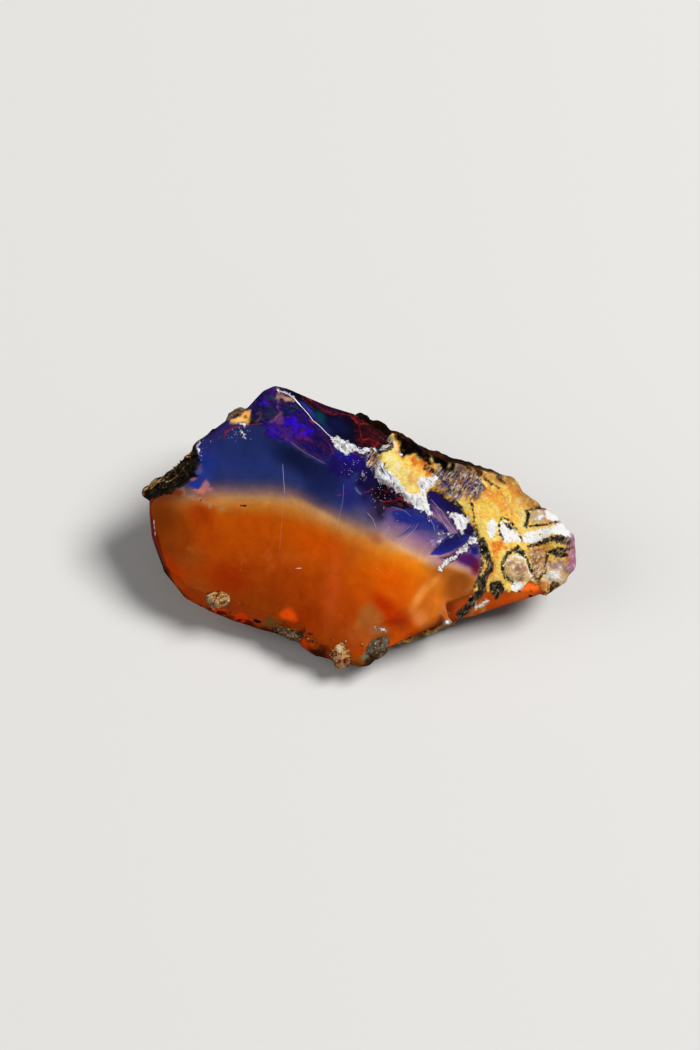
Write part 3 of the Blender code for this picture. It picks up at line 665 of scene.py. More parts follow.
GLASS_WASHES: tuple[Wash, ...] = (
    # blue side
    Cloud("#22368e", (-19.4, 4.2), (1.9, 1.9), 0, 0.9),
    Cloud("#283c8c", (-19, 2.8), (1.2, 0.8), 0, 0.8, 0.6),
    Cloud("#25336f", (-13.5, 6.4), (3.4, 2.2), 0, 0.6),
    Cloud("#131a3e", (-8, 6.4), (3.4, 1.3), -24, 0.95),
    Cloud("#1b2254", (-4.8, 4.6), (2.2, 2.2), 0, 0.8),
    Cloud("#26297c", (-1.9, 3.4), (1, 1.4), 0, 0.8),
    Panel("#1e1060", ((-4.2, 7.8), (-1.2, 8.2), (-0.8, 7.6), (-0.6, 6.4), (-2.3, 5.4), (-4.2, 5.6),
        (-5, 6.7)), 0.85, 0.5, 0.3),
    Cloud("#28189c", (-2.6, 7.6), (1.5, 0.5), -6, 0.6, 0.7, 0.3),
    Cloud("#180f3c", (0.2, 5.4), (1.2, 1.8), 10, 0.9, 0.6, 0.4),
    Cloud("#20205e", (0.2, 3.4), (1.3, 1), 0, 0.6),
    Cloud("#3a2c50", (1.6, 1.9), (1, 1), -20, 0.7, 0.7),
    Cloud("#a8603c", (2, -0.8), (0.9, 0.5), -24, 0.6, 0.8),
    Panel("#2a1c34", DARK_CLEFT, 0.8, 0.35, 0.3),
    Panel("#26308a", ((3, 2.6), (5.4, 2.8), (8, 2.3), (8.4, 1.4), (7.4, 1.2), (4.2, 1.5)),
        0.95, 0.5, 0.3),
    Panel("#3b3c88", ((4.3, -0.4), (6.2, 1.6), (7.4, 1.9), (8.1, 1.2), (7.5, 1), (6.4, 0.9)), 0.7, 0.2),
    Panel("#0d0a16", BLACK_GLASS, 0.95, 0.2, 0.25),
    Cloud("#1c1a4c", (2.9, 4), (0.8, 0.5), 0, 0.6, 0.6, 0.4),
    Panel("#785078", ((7.3, 4.6), (8.9, 3.7), (11.1, 1.5), (10.6, 0.7), (8.2, 2.4), (7.7, 3.3)),
        0.95, 0.14, 0.15),
    Panel("#a4808e", ((7.9, 3.2), (8.9, 2.6), (10.6, 0.9), (10, 0.8), (8.1, 2.4)), 0.6, 0.2, 0.3),
    Panel("#17256e", ((7, 5.3), (7.3, 5.7), (8.3, 5.5), (9.4, 4.8), (10.5, 4.4), (11.6, 3.4),
        (10.6, 3.35), (8.6, 3.7), (7.6, 4.2)), 1, 0.16),
    Cloud("#3412b8", (7.9, 4.9), (0.95, 0.34), -44, 0.95, 0.6),
    Panel("#101a64", ((8.5, 2.2), (9.2, 2), (10.7, 0.75), (9.8, 0.7), (8.9, 1.3)), 0.9, 0.12),
    Cloud("#b9a8cc", (8.5, -0.3), (0.5, 0.3), 0, 0.8, 0.5, 0.5),
    Cloud("#8a6a9c", (9.6, 0.4), (1, 0.5), 10, 0.7, 0.5, 0.5),
    Cloud("#b28a9c", (9.6, -2.4), (1.2, 0.5), 20, 0.7),
    Panel("#55244e", ((9.4, -1.9), (10.5, -1.5), (11.8, -0.2), (12.9, 1.5), (13.3, 0.9), (12.8, -0.4),
        (11.8, -1.5), (10.8, -2.2)), 0.9, 0.2),
    Panel("#561c66", ((11.2, -1.7), (12.2, -1), (13.1, -0.8), (13.9, -1.5), (14.1, -2.8), (12.9, -2.3),
        (11.9, -2.1)), 0.95, 0.3),
    Cloud("#7a1c30", (13.8, -2.4), (0.5, 0.9), 0, 0.8),
    Panel("#141f6a", ((12.7, -0.1), (13.6, 0), (13.7, -0.85), (13, -0.85)), 0.95, 0.12),
    # the lens-shaped chip
    Panel("#2a3192", ((8.3, -1.75), (9.5, 0), (10.5, 0.85), (11.6, 1.6), (12.8, 2), (12.9, 1.7),
        (12.3, 0.65), (11.6, -0.15), (10.7, -0.95), (9.5, -1.6)), 1, 0.1),
    Panel("#1c0e2c", ((10.9, 1), (11.6, 1.6), (12.8, 2.05), (12.95, 1.7), (12.5, 1.1), (12, 1.3)),
        0.9, 0.14),
    # left end
    Cloud("#a06a6c", (-18.4, 1), (1, 0.45), 10, 0.6),
    Cloud("#ac7050", (-17, 0.9), (1.8, 0.35), 14, 0.5),
    Panel("#1f389c", ((-20.1, 1.6), (-19.7, 2), (-18.9, 2), (-18.5, 1.85), (-18.75, 1.3), (-19.3, 1.35)),
        0.95, 0.12),
    Panel("#b87c80", ((-19.5, 1.15), (-18.7, 1.3), (-18.4, 2.15), (-18.2, 2.4), (-17.8, 2.2), (-17.5, 1.85),
        (-17, 1.6), (-17.6, 1.25), (-18, 0.85)), 0.9, 0.1, 0.1),
    Panel("#d0825a", ((-19.5, 1.2), (-18.8, 1.25), (-18.6, 1.5), (-17.9, 1.2), (-18.2, 0.9)), 0.8, 0.12, 0.1),
    Cloud("#c8808a", (-19.6, 2.35), (0.45, 0.16), 24, 0.9, 0.5),
    Cloud("#1c1034", (-22.3, 0.75), (0.7, 0.5), 0, 0.8, 0.6),
    Cloud("#a03a10", (-21.2, 0.5), (0.8, 0.3), 10, 0.7, 0.7),
    Panel("#3c2668", ((-18.8, 7.9), (-17.4, 9.2), (-16.2, 9.4), (-16.5, 8.6), (-18.4, 7.4)), 0.85, 0.3, 0.2),
    Cloud("#30286c", (-18.8, 6.4), (0.8, 1.2), 0, 0.6),
    Panel("#8a6a7a", ((-19, 4.4), (-19.4, 3.9), (-19.6, 3.3), (-19.1, 3.05), (-18.75, 3.1), (-18.75, 3.6)),
        0.55, 0.12),
    # orange side
    Cloud("#7c3505", (-22.8, -3.4), (2.4, 5), 0, 0.95),
    Cloud("#87390a", (-20.2, -5), (2.2, 3.8), 0, 0.7),
    Cloud("#a33802", (-18, -1.4), (1.5, 1.4), 0, 0.8),
    Cloud("#a23b07", (-16.6, -3.4), (1.6, 1.6), 0, 0.4),
    Cloud("#964e20", (-18.2, -6.4), (1.6, 1), 14, 0.45, 0.9),
    Cloud("#944e20", (-17, -9.6), (1.8, 0.9), -8, 0.5, 0.9),
    Cloud("#9c2e01", (-13.8, -8), (2, 1.5), 0, 0.8),
    Cloud("#b85004", (-11.6, -1.6), (3.2, 1.3), 0, 0.6),
    Cloud("#c98e50", (-6.6, 1.55), (1.5, 0.34), -16, 0.6),
    Cloud("#d09e60", (-3.9, 0.65), (1.5, 0.34), -22, 0.6),
    Cloud("#c8905a", (-1.2, -0.25), (1.2, 0.34), -22, 0.5),
    Cloud("#c65402", (-4.2, -2.6), (3, 1.5), -16, 0.85),
    Cloud("#b5551c", (-7.4, -4.8), (2, 0.8), 10, 0.5, 0.9),
    Cloud("#a63f06", (-6, -8.2), (2.8, 1.8), 0, 0.4),
    Cloud("#c0541a", (-2, -7.4), (0.9, 4.2), 3, 0.75, 0.9),
    Cloud("#9c3401", (-4.4, -11.2), (1.6, 1.4), 0, 0.8),
    Cloud("#bc5c1a", (-0.3, -3.2), (1.1, 1.8), -10, 0.5),
    Cloud("#d66002", (4.4, -5), (1.8, 1.5), -20, 0.7),
    Cloud("#e4840c", (6.6, -3.3), (2, 0.7), -16, 0.7),
    Cloud("#b83402", (4.2, -8.2), (1.5, 0.8), -30, 0.9),
    Panel("#cc7a26", ((6.6, -8.6), (7.6, -5.6), (8.8, -3.9), (9.8, -2.9), (12.4, -3.1), (14.2, -3.8),
        (14, -5.6), (13, -8.4), (9, -10.6)), 0.75, 0.4),
    Cloud("#a2581c", (12.2, -5.2), (1.6, 1.7), 0, 0.9, 0.6),
    Cloud("#a8601e", (11, -3.6), (2.4, 0.7), -6, 0.8),
    Cloud("#b8703e", (11.6, -7.6), (1.2, 1), 0, 0.8),
    Cloud("#e8a458", (8, -6.6), (0.45, 1.6), -22, 0.7),
    Cloud("#e6a65c", (9.3, -4.8), (0.3, 1), -30, 0.5),
    Cloud("#d89060", (8.4, -9), (0.8, 0.8), 0, 0.6),
    Cloud("#a83c10", (6.6, -9.4), (0.8, 0.9), 0, 0.6),
    Panel("#a96a30", ((1.5, -9.1), (2.6, -8), (4.3, -9.5), (4.3, -10.8), (1.2, -11.4)), 0.8, 0.5),
    Cloud("#b3662a", (2.2, -12), (1.8, 0.9), 0, 0.7),
    Cloud("#b08a68", (4, -11.2), (1, 0.4), 10, 0.6),
    Cloud("#7c5230", (4.6, -12), (0.9, 0.5), 20, 0.8),
    Cloud("#b43206", (5.6, -9.6), (1.1, 0.6), 10, 0.7),
    Cloud("#d85208", (-6.4, -11.5), (1, 1.15), 0, 0.9, 0.3, 0.12),
    Cloud("#8a3a10", (-6.1, -11.9), (0.3, 0.4), 0, 0.6, 0.5, 0.3),
    Cloud("#b23202", (-20.4, -8.2), (2.6, 0.8), -42, 0.55),
    # pale scuffs beside the crust
    Cloud("#a8846e", (-20.3, 0.75), (1, 0.14), -14, 0.6, 0.6, 0.3),
    Cloud("#b8947a", (-18.4, 0.1), (1.7, 0.18), -12, 0.6, 0.6, 0.3),
    Cloud("#b08a6a", (-16.2, -0.4), (1.1, 0.18), -8, 0.5, 0.6, 0.3),
    Cloud("#b06a38", (-18.6, -5.6), (0.4, 0.25), 20, 0.5, 0.8, 0.5),
    Cloud("#c0682e", (-12.6, -6.6), (0.14, 1.1), -14, 0.4, 0.7, 0.4),
    Cloud("#c87840", (-9.6, -4.6), (0.16, 1.6), 6, 0.35, 0.7, 0.4),
    # apex facet
    Panel("#180e48", ((-12, 14.6), (-13.6, 13.4), (-14.6, 11.8), (-14.4, 10.4), (-13.1, 9.8),
        (-12.2, 8.6), (-8.2, 8), (-5.4, 6.9), (-4.4, 8.3), (-4.8, 9.7), (-7.3, 11.3), (-10.2, 13.7)),
        0.95, 0.3, 0.3),
    Panel("#3c1a3a", ((-13.6, 12.7), (-12.1, 14.6), (-10.8, 14.8), (-9.4, 14.2), (-10.1, 13.7),
        (-11.4, 13.9), (-12.3, 13.5), (-12.8, 12.9)), 0.7, 0.25, 0.4),
    Cloud("#4c1c74", (-12.2, 13.7), (0.6, 0.4), 30, 0.7, 0.5, 0.5),
    Panel("#2e02cc", ((-10.1, 11.1), (-9.2, 11.3), (-7.6, 10.2), (-7.2, 9.1), (-8.1, 9), (-9.7, 10.1)),
        0.95, 0.3, 0.5),
    Panel("#2c12a0", ((-12.1, 10), (-11.2, 9.9), (-10.8, 9.3), (-11, 8.6), (-12, 8.7)), 0.8, 0.3, 0.4),
    Panel("#4e2480", ((-11.2, 10), (-10, 9.8), (-8.9, 9.2), (-8.3, 8.4), (-10.8, 8.8)), 0.85, 0.3, 0.5),
    Panel("#744084", ((-12.1, 10.4), (-11.6, 11), (-10.7, 11.2), (-10.1, 10.8), (-10.1, 10.3),
        (-10.8, 10), (-11.7, 10.1)), 0.85, 0.2, 0.4),
    Panel("#9a5a60", ((-11.4, 12.4), (-10.9, 12), (-10.8, 11.2), (-11, 10.6), (-12.1, 10.5),
        (-11.6, 11.2)), 0.8, 0.16, 0.4),
    Cloud("#7a1838", (-7.9, 9), (0.9, 0.25), -8, 0.8, 0.5, 0.4),
    Cloud("#6a1c50", (-8.6, 9.9), (0.5, 0.4), 0, 0.6, 0.5, 0.5),
    Panel("#130a34", ((-7.3, 9.2), (-6, 9.6), (-4.7, 9), (-4.6, 8), (-5.2, 7.4), (-6.6, 8.1)),
        0.85, 0.3, 0.3),
    Panel("#0a4648", ((-12.8, 13.4), (-11.7, 13.5), (-11.8, 12.8), (-12.6, 12.8)), 0.9, 0.15, 0.3),
    Panel("#3e12d0", ((-13.4, 12.3), (-12.6, 12.5), (-12.2, 12.2), (-12.6, 11.7), (-13.2, 11.7)),
        0.95, 0.15, 0.3),
    Cloud("#3c1440", (-12, 12.3), (0.4, 0.5), 0, 0.7, 0.5, 0.4),
    Panel("#0a1c2c", ((-11.2, 12.7), (-10.4, 13), (-9.3, 12.7), (-9, 12.2), (-9.9, 12.1), (-10.4, 12.3),
        (-11, 12.2)), 0.95, 0.14, 0.3),
    Panel("#08202e", ((-10.8, 12.1), (-10, 12.3), (-9.1, 12.1), (-9.1, 11.4), (-10.7, 11.4)),
        0.95, 0.14, 0.3),
    Cloud("#6a5a50", (-9.7, 12.25), (0.7, 0.1), -12, 0.5, 0.5, 0.4),
    Panel("#b88a5c", ((-11.7, 13.4), (-11, 13.7), (-9.9, 13.35), (-10.2, 12.9), (-10.8, 13.1),
        (-11.3, 13), (-11.6, 12.5), (-11.9, 12.9)), 0.9, 0.12, 0.3),
    Cloud("#d8b07c", (-10.6, 13.3), (0.5, 0.2), -20, 0.8, 0.5, 0.3),
    Panel("#11160f", ((-14.5, 11.4), (-13.6, 12.2), (-12.8, 11.9), (-12.5, 11), (-13, 10.1),
        (-14.2, 9.6), (-14.5, 10.5)), 0.95, 0.2, 0.3),
    Cloud("#0a2c30", (-12.3, 11.2), (0.5, 0.7), -30, 0.9, 0.5, 0.4),
    Cloud("#8a6a2a", (-13.3, 10.6), (0.3, 0.3), 0, 0.6, 0.5, 0.6),
    Panel("#e6b060", ((-16.7, 9.5), (-15.8, 10.4), (-14.5, 11.3), (-14.2, 10.8), (-14.1, 10),
        (-14.4, 9.6), (-14.9, 9.6), (-15.7, 9.35), (-16.3, 9.3)), 1, 0.12, 0.15),
    Cloud("#f2d094", (-15.4, 9.9), (0.5, 0.2), 20, 0.7, 0.5),
    Cloud("#7c4010", (-14.9, 10.3), (0.2, 0.18), 0, 0.9, 0.5),
    Cloud("#0e0c0c", (-14, 10.6), (0.25, 0.9), 0, 0.85, 0.5, 0.2),
    Panel("#6a4a78", ((-10.2, 8.9), (-9.2, 8.6), (-6.7, 7.1), (-5.3, 6.7), (-5.4, 6.5), (-6.9, 6.8),
        (-9, 7.9)), 0.5, 0.2, 0.15),
    # upper bevel: painted shade, near black where it faces away from the light, over navy glass
    Panel("#0e0c22", ((-11.2, 14.2), (-9.9, 13.6), (-7.3, 11.4), (-4.8, 9.8), (-3.5, 9.7), (-2.1, 9.1),
        (-0.6, 9.1), (1.6, 9.6), (2.6, 10.6), (2, 14), (-6, 17), (-14, 17)), 1, 0.12),
    Panel("#2a3f96", ((-9.2, 13.2), (-8.5, 13), (-7.6, 12.4), (-6.8, 11.7), (-7.2, 11.4), (-8.9, 12.8)),
        0.9, 0.2),
    Panel("#18285e", ((-7.4, 12.2), (-4.6, 10.4), (-4.6, 9.9), (-5.5, 10.2), (-7, 11.3)), 0.9, 0.3),
    Cloud("#0e4450", (-6.5, 11.8), (0.8, 0.5), -40, 0.85, 0.7),
    Cloud("#141a48", (-4.4, 11), (1.4, 0.8), -30, 0.8, 0.7),
    Panel("#2c0d16", RED_BEVEL, 0.85, 0.5, 0.3),
    Cloud("#4a1018", (-0.6, 10), (1, 0.6), 0, 0.6, 0.6, 0.4),
    Panel("#3a1234", BEVEL_EDGE, 0.6, 0.3, 0.3),
)

# On the broken walls round the window: painted shade where they turn from the light, with a painted orange
# glow and a painted highlight along the bottom rim
RIM_WASHES: tuple[Wash, ...] = (
    Panel("#8e1c04", ((-25.4, -0.9), (-23, -1), (-22, -6.2), (-23.4, -7), (-25.4, -4)), 0.85, 0.6),
    Cloud("#1e0402", (-21.6, -9.6), (3, 1.3), -50, 0.95, 0.7),
    Cloud("#140806", (-0.4, 13.2), (4, 1.2), -24, 0.9, 0.6),
    Panel("#c0500c", ((-20.6, -7.6), (-17, -8.6), (-5, -10.6), (-4.2, -12), (-5.4, -13.3),
        (-17, -11.5), (-20, -9.9)), 0.9, 0.3, 0.2),
    Panel("#5c1004", ((-19.4, -10.8), (-17, -11.9), (-5, -13.7), (-5, -15), (-20, -13)),
        0.8, 0.2, 0.3),
    Cloud("#f05008", (-14.4, -11.9), (1, 0.34), -8, 0.9, 0.4, 0.4),
    Cloud("#f04a04", (-11.8, -12.3), (1.3, 0.3), -12, 0.9, 0.4, 0.4),
    Cloud("#80602c", (-8.3, -12.3), (0.9, 0.6), -6, 0.85, 0.5, 0.3),
    Cloud("#3c1c0a", (-6.4, -13.4), (1.5, 0.6), -6, 0.9, 0.4, 0.4),
    Cloud("#d8440c", (-4, -14.2), (0.9, 0.6), -20, 0.85, 0.5, 0.4),
    Cloud("#3a1408", (-2.2, -15.3), (1.2, 0.7), -20, 0.9, 0.5, 0.3),
    Cloud("#8a5218", (2, -15.4), (1.5, 0.8), 10, 0.9, 0.5, 0.5),
    Cloud("#d09a48", (1.8, -16.2), (1.2, 0.24), 4, 0.8, 0.5, 0.4),
    Panel("#7c8272", ((2.4, -14.8), (3.5, -12.6), (4.3, -12.6), (4.2, -13.6), (3.3, -14.8)), 0.9, 0.25, 0.3),
    Cloud("#1a1a14", (3.8, -14.9), (1.1, 0.5), 40, 0.8, 0.5, 0.4),
    Cloud("#ff8a2a", (19.8, -3.9), (1.4, 0.8), 24, 0.8),
    Cloud("#d8a870", (15.4, -6.5), (0.7, 0.4), 30, 0.7, 0.5, 0.5),
    Cloud("#c8a05c", (14.2, -7.4), (0.5, 0.3), 30, 0.6, 0.5, 0.5),
)

SKIN_WASHES: tuple[Wash, ...] = (
    Panel("#fcd468", ((12.8, 3.2), (13.2, 6.8), (16.4, 7.4), (18.8, 5.2), (17.6, 3.4), (15, 3.6)),
        0.8, 0.7),
    Cloud("#fbe48a", (14.6, 4.4), (1.6, 0.8), -20, 0.7, 0.7, 0.4),
    Cloud("#f6cf7c", (17.4, 5), (1, 0.7), -20, 0.7, 0.7, 0.4),
    Cloud("#f0a43c", (15.8, 4.6), (1.4, 0.4), -24, 0.7, 0.7, 0.5),
    Cloud("#e89428", (13.6, 6.2), (0.8, 0.5), -24, 0.6, 0.7, 0.5),
    Cloud("#f4e6b8", (18.2, 3.8), (0.6, 1.6), 20, 0.8),
    Cloud("#fbe08a", (14, 1.2), (0.7, 1.4), 0, 0.7),
    Panel("#f09a2c", ((15.6, -0.5), (16.4, 0.3), (15.9, 0.9), (15.2, 0.6), (15.2, -0.2)), 0.9, 0.25, 0.3),
    Cloud("#e8a23c", (15.4, -1.8), (0.5, 1.4), 0, 0.6, 0.7, 0.4),
    Cloud("#f4b848", (14.9, 5.8), (1.6, 0.6), 20, 0.5),
    Panel("#e8b858", TIP_FLAKES, 0.8, 0.2, 0.3),
    Cloud("#f2d48c", (20.4, 0), (0.6, 0.5), 0, 0.6, 0.7, 0.5),
    Cloud("#e8b24c", (15.3, -4.6), (0.7, 1.2), -20, 0.7, 0.7, 0.4),
    Panel("#ead6be", ((16.8, -1), (17.5, -0.4), (18.6, -0.35), (20.5, -2.8), (19.1, -3.1), (17.9, -3.2),
        (17, -2.5), (16.7, -1.7)), 0.95, 0.14, 0.15),
    Cloud("#b08460", (18.1, -1.6), (0.7, 0.5), 0, 0.7, 0.7, 0.5),
    Cloud("#8a6a58", (18.9, -2.4), (0.4, 0.3), 0, 0.6, 0.7, 0.5),
    Cloud("#ead8c4", (18.3, -1), (0.6, 0.3), 0, 0.6, 0.7, 0.5),
    Cloud("#ecdcd8", (22.6, -1.8), (1.6, 1), -20, 0.9, 0.6, 0.4),
    Cloud("#b09cb8", (22.9, -0.5), (1.3, 0.5), 0, 0.95, 0.5, 0.4),
    Cloud("#d8a05c", (21.6, -3), (0.9, 0.5), 20, 0.7, 0.6, 0.4),
    Panel("#d89430", ((22.2, -3.5), (23.7, -2.1), (24.3, -1.8), (24, -2.9), (22.8, -4.2)), 0.9, 0.2, 0.2),
    Cloud("#86608c", (20.7, 5.8), (1, 0.3), -20, 0.8, 0.4),
    Cloud("#8a5a80", (20.5, 4.7), (0.3, 0.6), -10, 0.8, 0.5, 0.3),
    Panel("#c894bc", ((22.8, 3), (23.4, 4.2), (28, 2.8), (28, -2.4), (25, -1.8), (24.1, -0.9),
        (23.5, 1.6)), 1, 0.14, 0.1),
    Cloud("#a07cc0", (23.6, 3.4), (0.7, 1.3), 30, 0.9, 0.4),
    Panel("#cfcac6", ((18.7, 4.6), (20.1, 5.2), (20.8, 4.8), (20.9, 3.9), (19.3, 3.3)), 0.85, 0.2, 0.3),
    Cloud("#f2a83c", (2.9, 9.4), (0.35, 1.2), 28, 0.9, 0.5, 0.2),
    Cloud("#fff2cc", (2.2, 8.1), (1, 0.8), 0, 0.8, 0.7, 0.3),
    Cloud("#fff6dc", (2.9, 6.8), (1, 0.9), -30, 0.8, 0.7, 0.4),
    Cloud("#fff2d0", (4.6, 5.5), (0.9, 0.5), 0, 0.7, 0.7, 0.4),
    Cloud("#fde8a8", (4.8, 6.2), (1.4, 0.9), -30, 0.8, 0.7, 0.4),
    Cloud("#f6b24a", (4.6, 6.8), (0.9, 0.5), -30, 0.5, 0.7, 0.5),
    Panel("#e48a24", ((4.4, 8.5), (5.7, 8.5), (7.2, 8), (7.2, 7.3), (4.5, 7.7)), 0.9, 0.3, 0.4),
    Cloud("#6d4470", (11.9, 6.9), (0.7, 0.8), 0, 0.8, 0.5, 0.4),
    Panel("#54446e", VIOLET_SKIN, 0.8, 0.3, 0.4),
    Cloud("#c8a468", (9.4, 7.1), (0.9, 0.3), -10, 0.6, 0.6, 0.5),
    Cloud("#d8b878", (11, 5.7), (0.7, 0.4), -30, 0.7, 0.6, 0.5),
    # rust and dark crust on the shoulder above the yellow skin, darkened to near black as painted shadow
    Panel("#070302", ((1.6, 13.5), (1.8, 10.8), (3, 9.3), (3.6, 8.9), (6.4, 8.5), (8.2, 7.9), (9.3, 8.2),
        (14.6, 8), (16, 8.6), (12, 12), (4, 14)), 1, 0.2, 0.4),
    Panel("#6a2406", ((2.8, 10.7), (3.9, 11.1), (5.3, 11), (6.4, 10.3), (6.2, 9.5), (3.5, 10.2)),
        0.85, 0.3, 0.5),
    Panel("#6c2e0a", ((8.6, 9.7), (9.6, 10.2), (10.9, 9.8), (12.4, 8.9), (12.3, 8.1), (10.4, 8.3),
        (9, 8.8)), 0.85, 0.3, 0.5),
    Cloud("#c8842c", (13.6, 8.4), (1.6, 0.4), -14, 0.7, 0.6, 0.4),
    # pebbles, the grain pebble with painted shade on its lower left
    Cloud("#f0d8b4", (-14.6, -10.7), (2.2, 1.8), 0, 1, 0.3),
    Cloud("#a88448", (-15.6, -11.3), (0.9, 0.6), 30, 0.9, 0.6),
    Cloud("#d8a464", (0.3, -14.9), (1.8, 2), 0, 1, 0.3),
    Cloud("#fff0dc", (0, -13.9), (0.8, 0.5), 0, 0.9, 0.5),
    Cloud("#2c2c20", (4.2, -13.1), (1.9, 1.4), 30, 1, 0.3),
    Cloud("#5a3c18", (-15.9, 10.4), (1.3, 1), 40, 1, 0.3),
    Cloud("#4a2a10", (-5.8, -13.2), (2.4, 1), 0, 1, 0.3),
)

# Gilt edges of the layers in the dark crust
GILTS: tuple[Line, ...] = (
    Line(((-24.3, -0.5), (-24.2, 0.1), (-24.05, 0.5), (-23.8, 1), (-23.1, 1.75), (-22.5, 2.1)), 0.22),
    Line(((-23.8, 0.3), (-23.6, 0.7), (-23.3, 1.1), (-22.8, 1.6)), 0.16),
    Line(((-25, -0.4), (-24.9, 0.3), (-24.6, 0.9), (-24, 1.5), (-23.4, 2.1), (-22.5, 2.8)), 0.16),
    Line(((-22, 3), (-21.7, 3.5), (-21.4, 4.1), (-21, 4.6), (-20.4, 4.8)), 0.2),
    Line(((-20.7, 4.9), (-20.5, 5.2), (-20.4, 5.5)), 0.2),
    Line(((-20.2, 6.2), (-20, 6.5), (-19.9, 6.8)), 0.14),
    Line(((-22.4, 1.5), (-21.9, 1.9), (-21.3, 2.6), (-20.9, 3.4)), 0.12),
    Line(((-22.9, 2.5), (-22.2, 3.1), (-21.6, 3.9), (-21.2, 4.6), (-20.6, 5.4)), 0.14),
)


class Field(Enum):
    """What is stored at each point of the stone's surface, for its finish to read."""

    GLASS = "glass_colour"
    RIND = "rind_colour"
    SKIN = "skin"
    CRUST = "crust"
    PEBBLE = "pebble"
    BRUISE = "bruise_and_glint"
    STAIN = "stain"
    FLECK = "fleck"
    CHALK = "chalk"
    CRACKLE = "crackle"
    DUST = "dust"
    NET = "net"
    FIRE = "fire"
    EMBER = "shade_and_glow"
    EMBER_ON = "ember_on"
    # hair and hair_on carry the hairlines and the painted glints on the ridge and the left rim
    HAIR = "hair"
    HAIR_ON = "hair_on"
    GILT = "gilt"
    GILT_ON = "gilt_on"


def deselect_all() -> None:
    """Leaves nothing selected, so that an operator acts on the new piece alone."""
    if bpy.context.mode != "OBJECT":
        bpy.ops.object.mode_set(mode="OBJECT")
    bpy.ops.object.select_all(action="DESELECT")


def vectors(collection: Any, attribute: str) -> np.ndarray:
    """Reads a vector of every item of a mesh collection.

    Args:
        collection: Vertices or their normals.
        attribute: The vector's name.

    Returns:
        One row per item.
    """
    values = np.empty(len(collection) * 3)
    collection.foreach_get(attribute, values)
    return values.reshape(-1, 3)


def apply_modifier(obj: bpy.types.Object, kind: str, **settings: Any) -> None:
    """Adds a modifier to the active object and applies it.

    Args:
        obj: The piece, which becomes the active object.
        kind: The modifier's type, such as REMESH.
        settings: The modifier's own settings.
    """
    bpy.context.view_layer.objects.active = obj
    modifier = obj.modifiers.new(kind.lower(), kind)
    for name, value in settings.items():
        setattr(modifier, name, value)
    bpy.ops.object.modifier_apply(modifier=modifier.name)


def graded(value: np.ndarray, grade: tuple[tuple[float, str], ...]) -> np.ndarray:
    """Reads a colour grade.

    Args:
        value: Where to read it, one number per point.
        grade: Pairs of a number and an sRGB hex code, in falling order.

    Returns:
        One row of sRGB values per point.
    """
    stops = np.array([stop for stop, _ in reversed(grade)])
    hues = np.array([srgb(hue) for _, hue in reversed(grade)])
    return np.stack([np.interp(value, stops, hues[:, i]) for i in range(3)], axis=1)


def blend(below: np.ndarray | str, above: np.ndarray | str, share: np.ndarray) -> np.ndarray:
    """Goes from one colour to another.

    Args:
        below: The colour where the share is 0: one row of sRGB values per point, or a hex code.
        above: The colour where it is 1.
        share: One number per point.

    Returns:
        One row of sRGB values per point.
    """
    first, second = (srgb(colour) if isinstance(colour, str) else colour for colour in (below, above))
    return first + (second - first) * share[:, None]


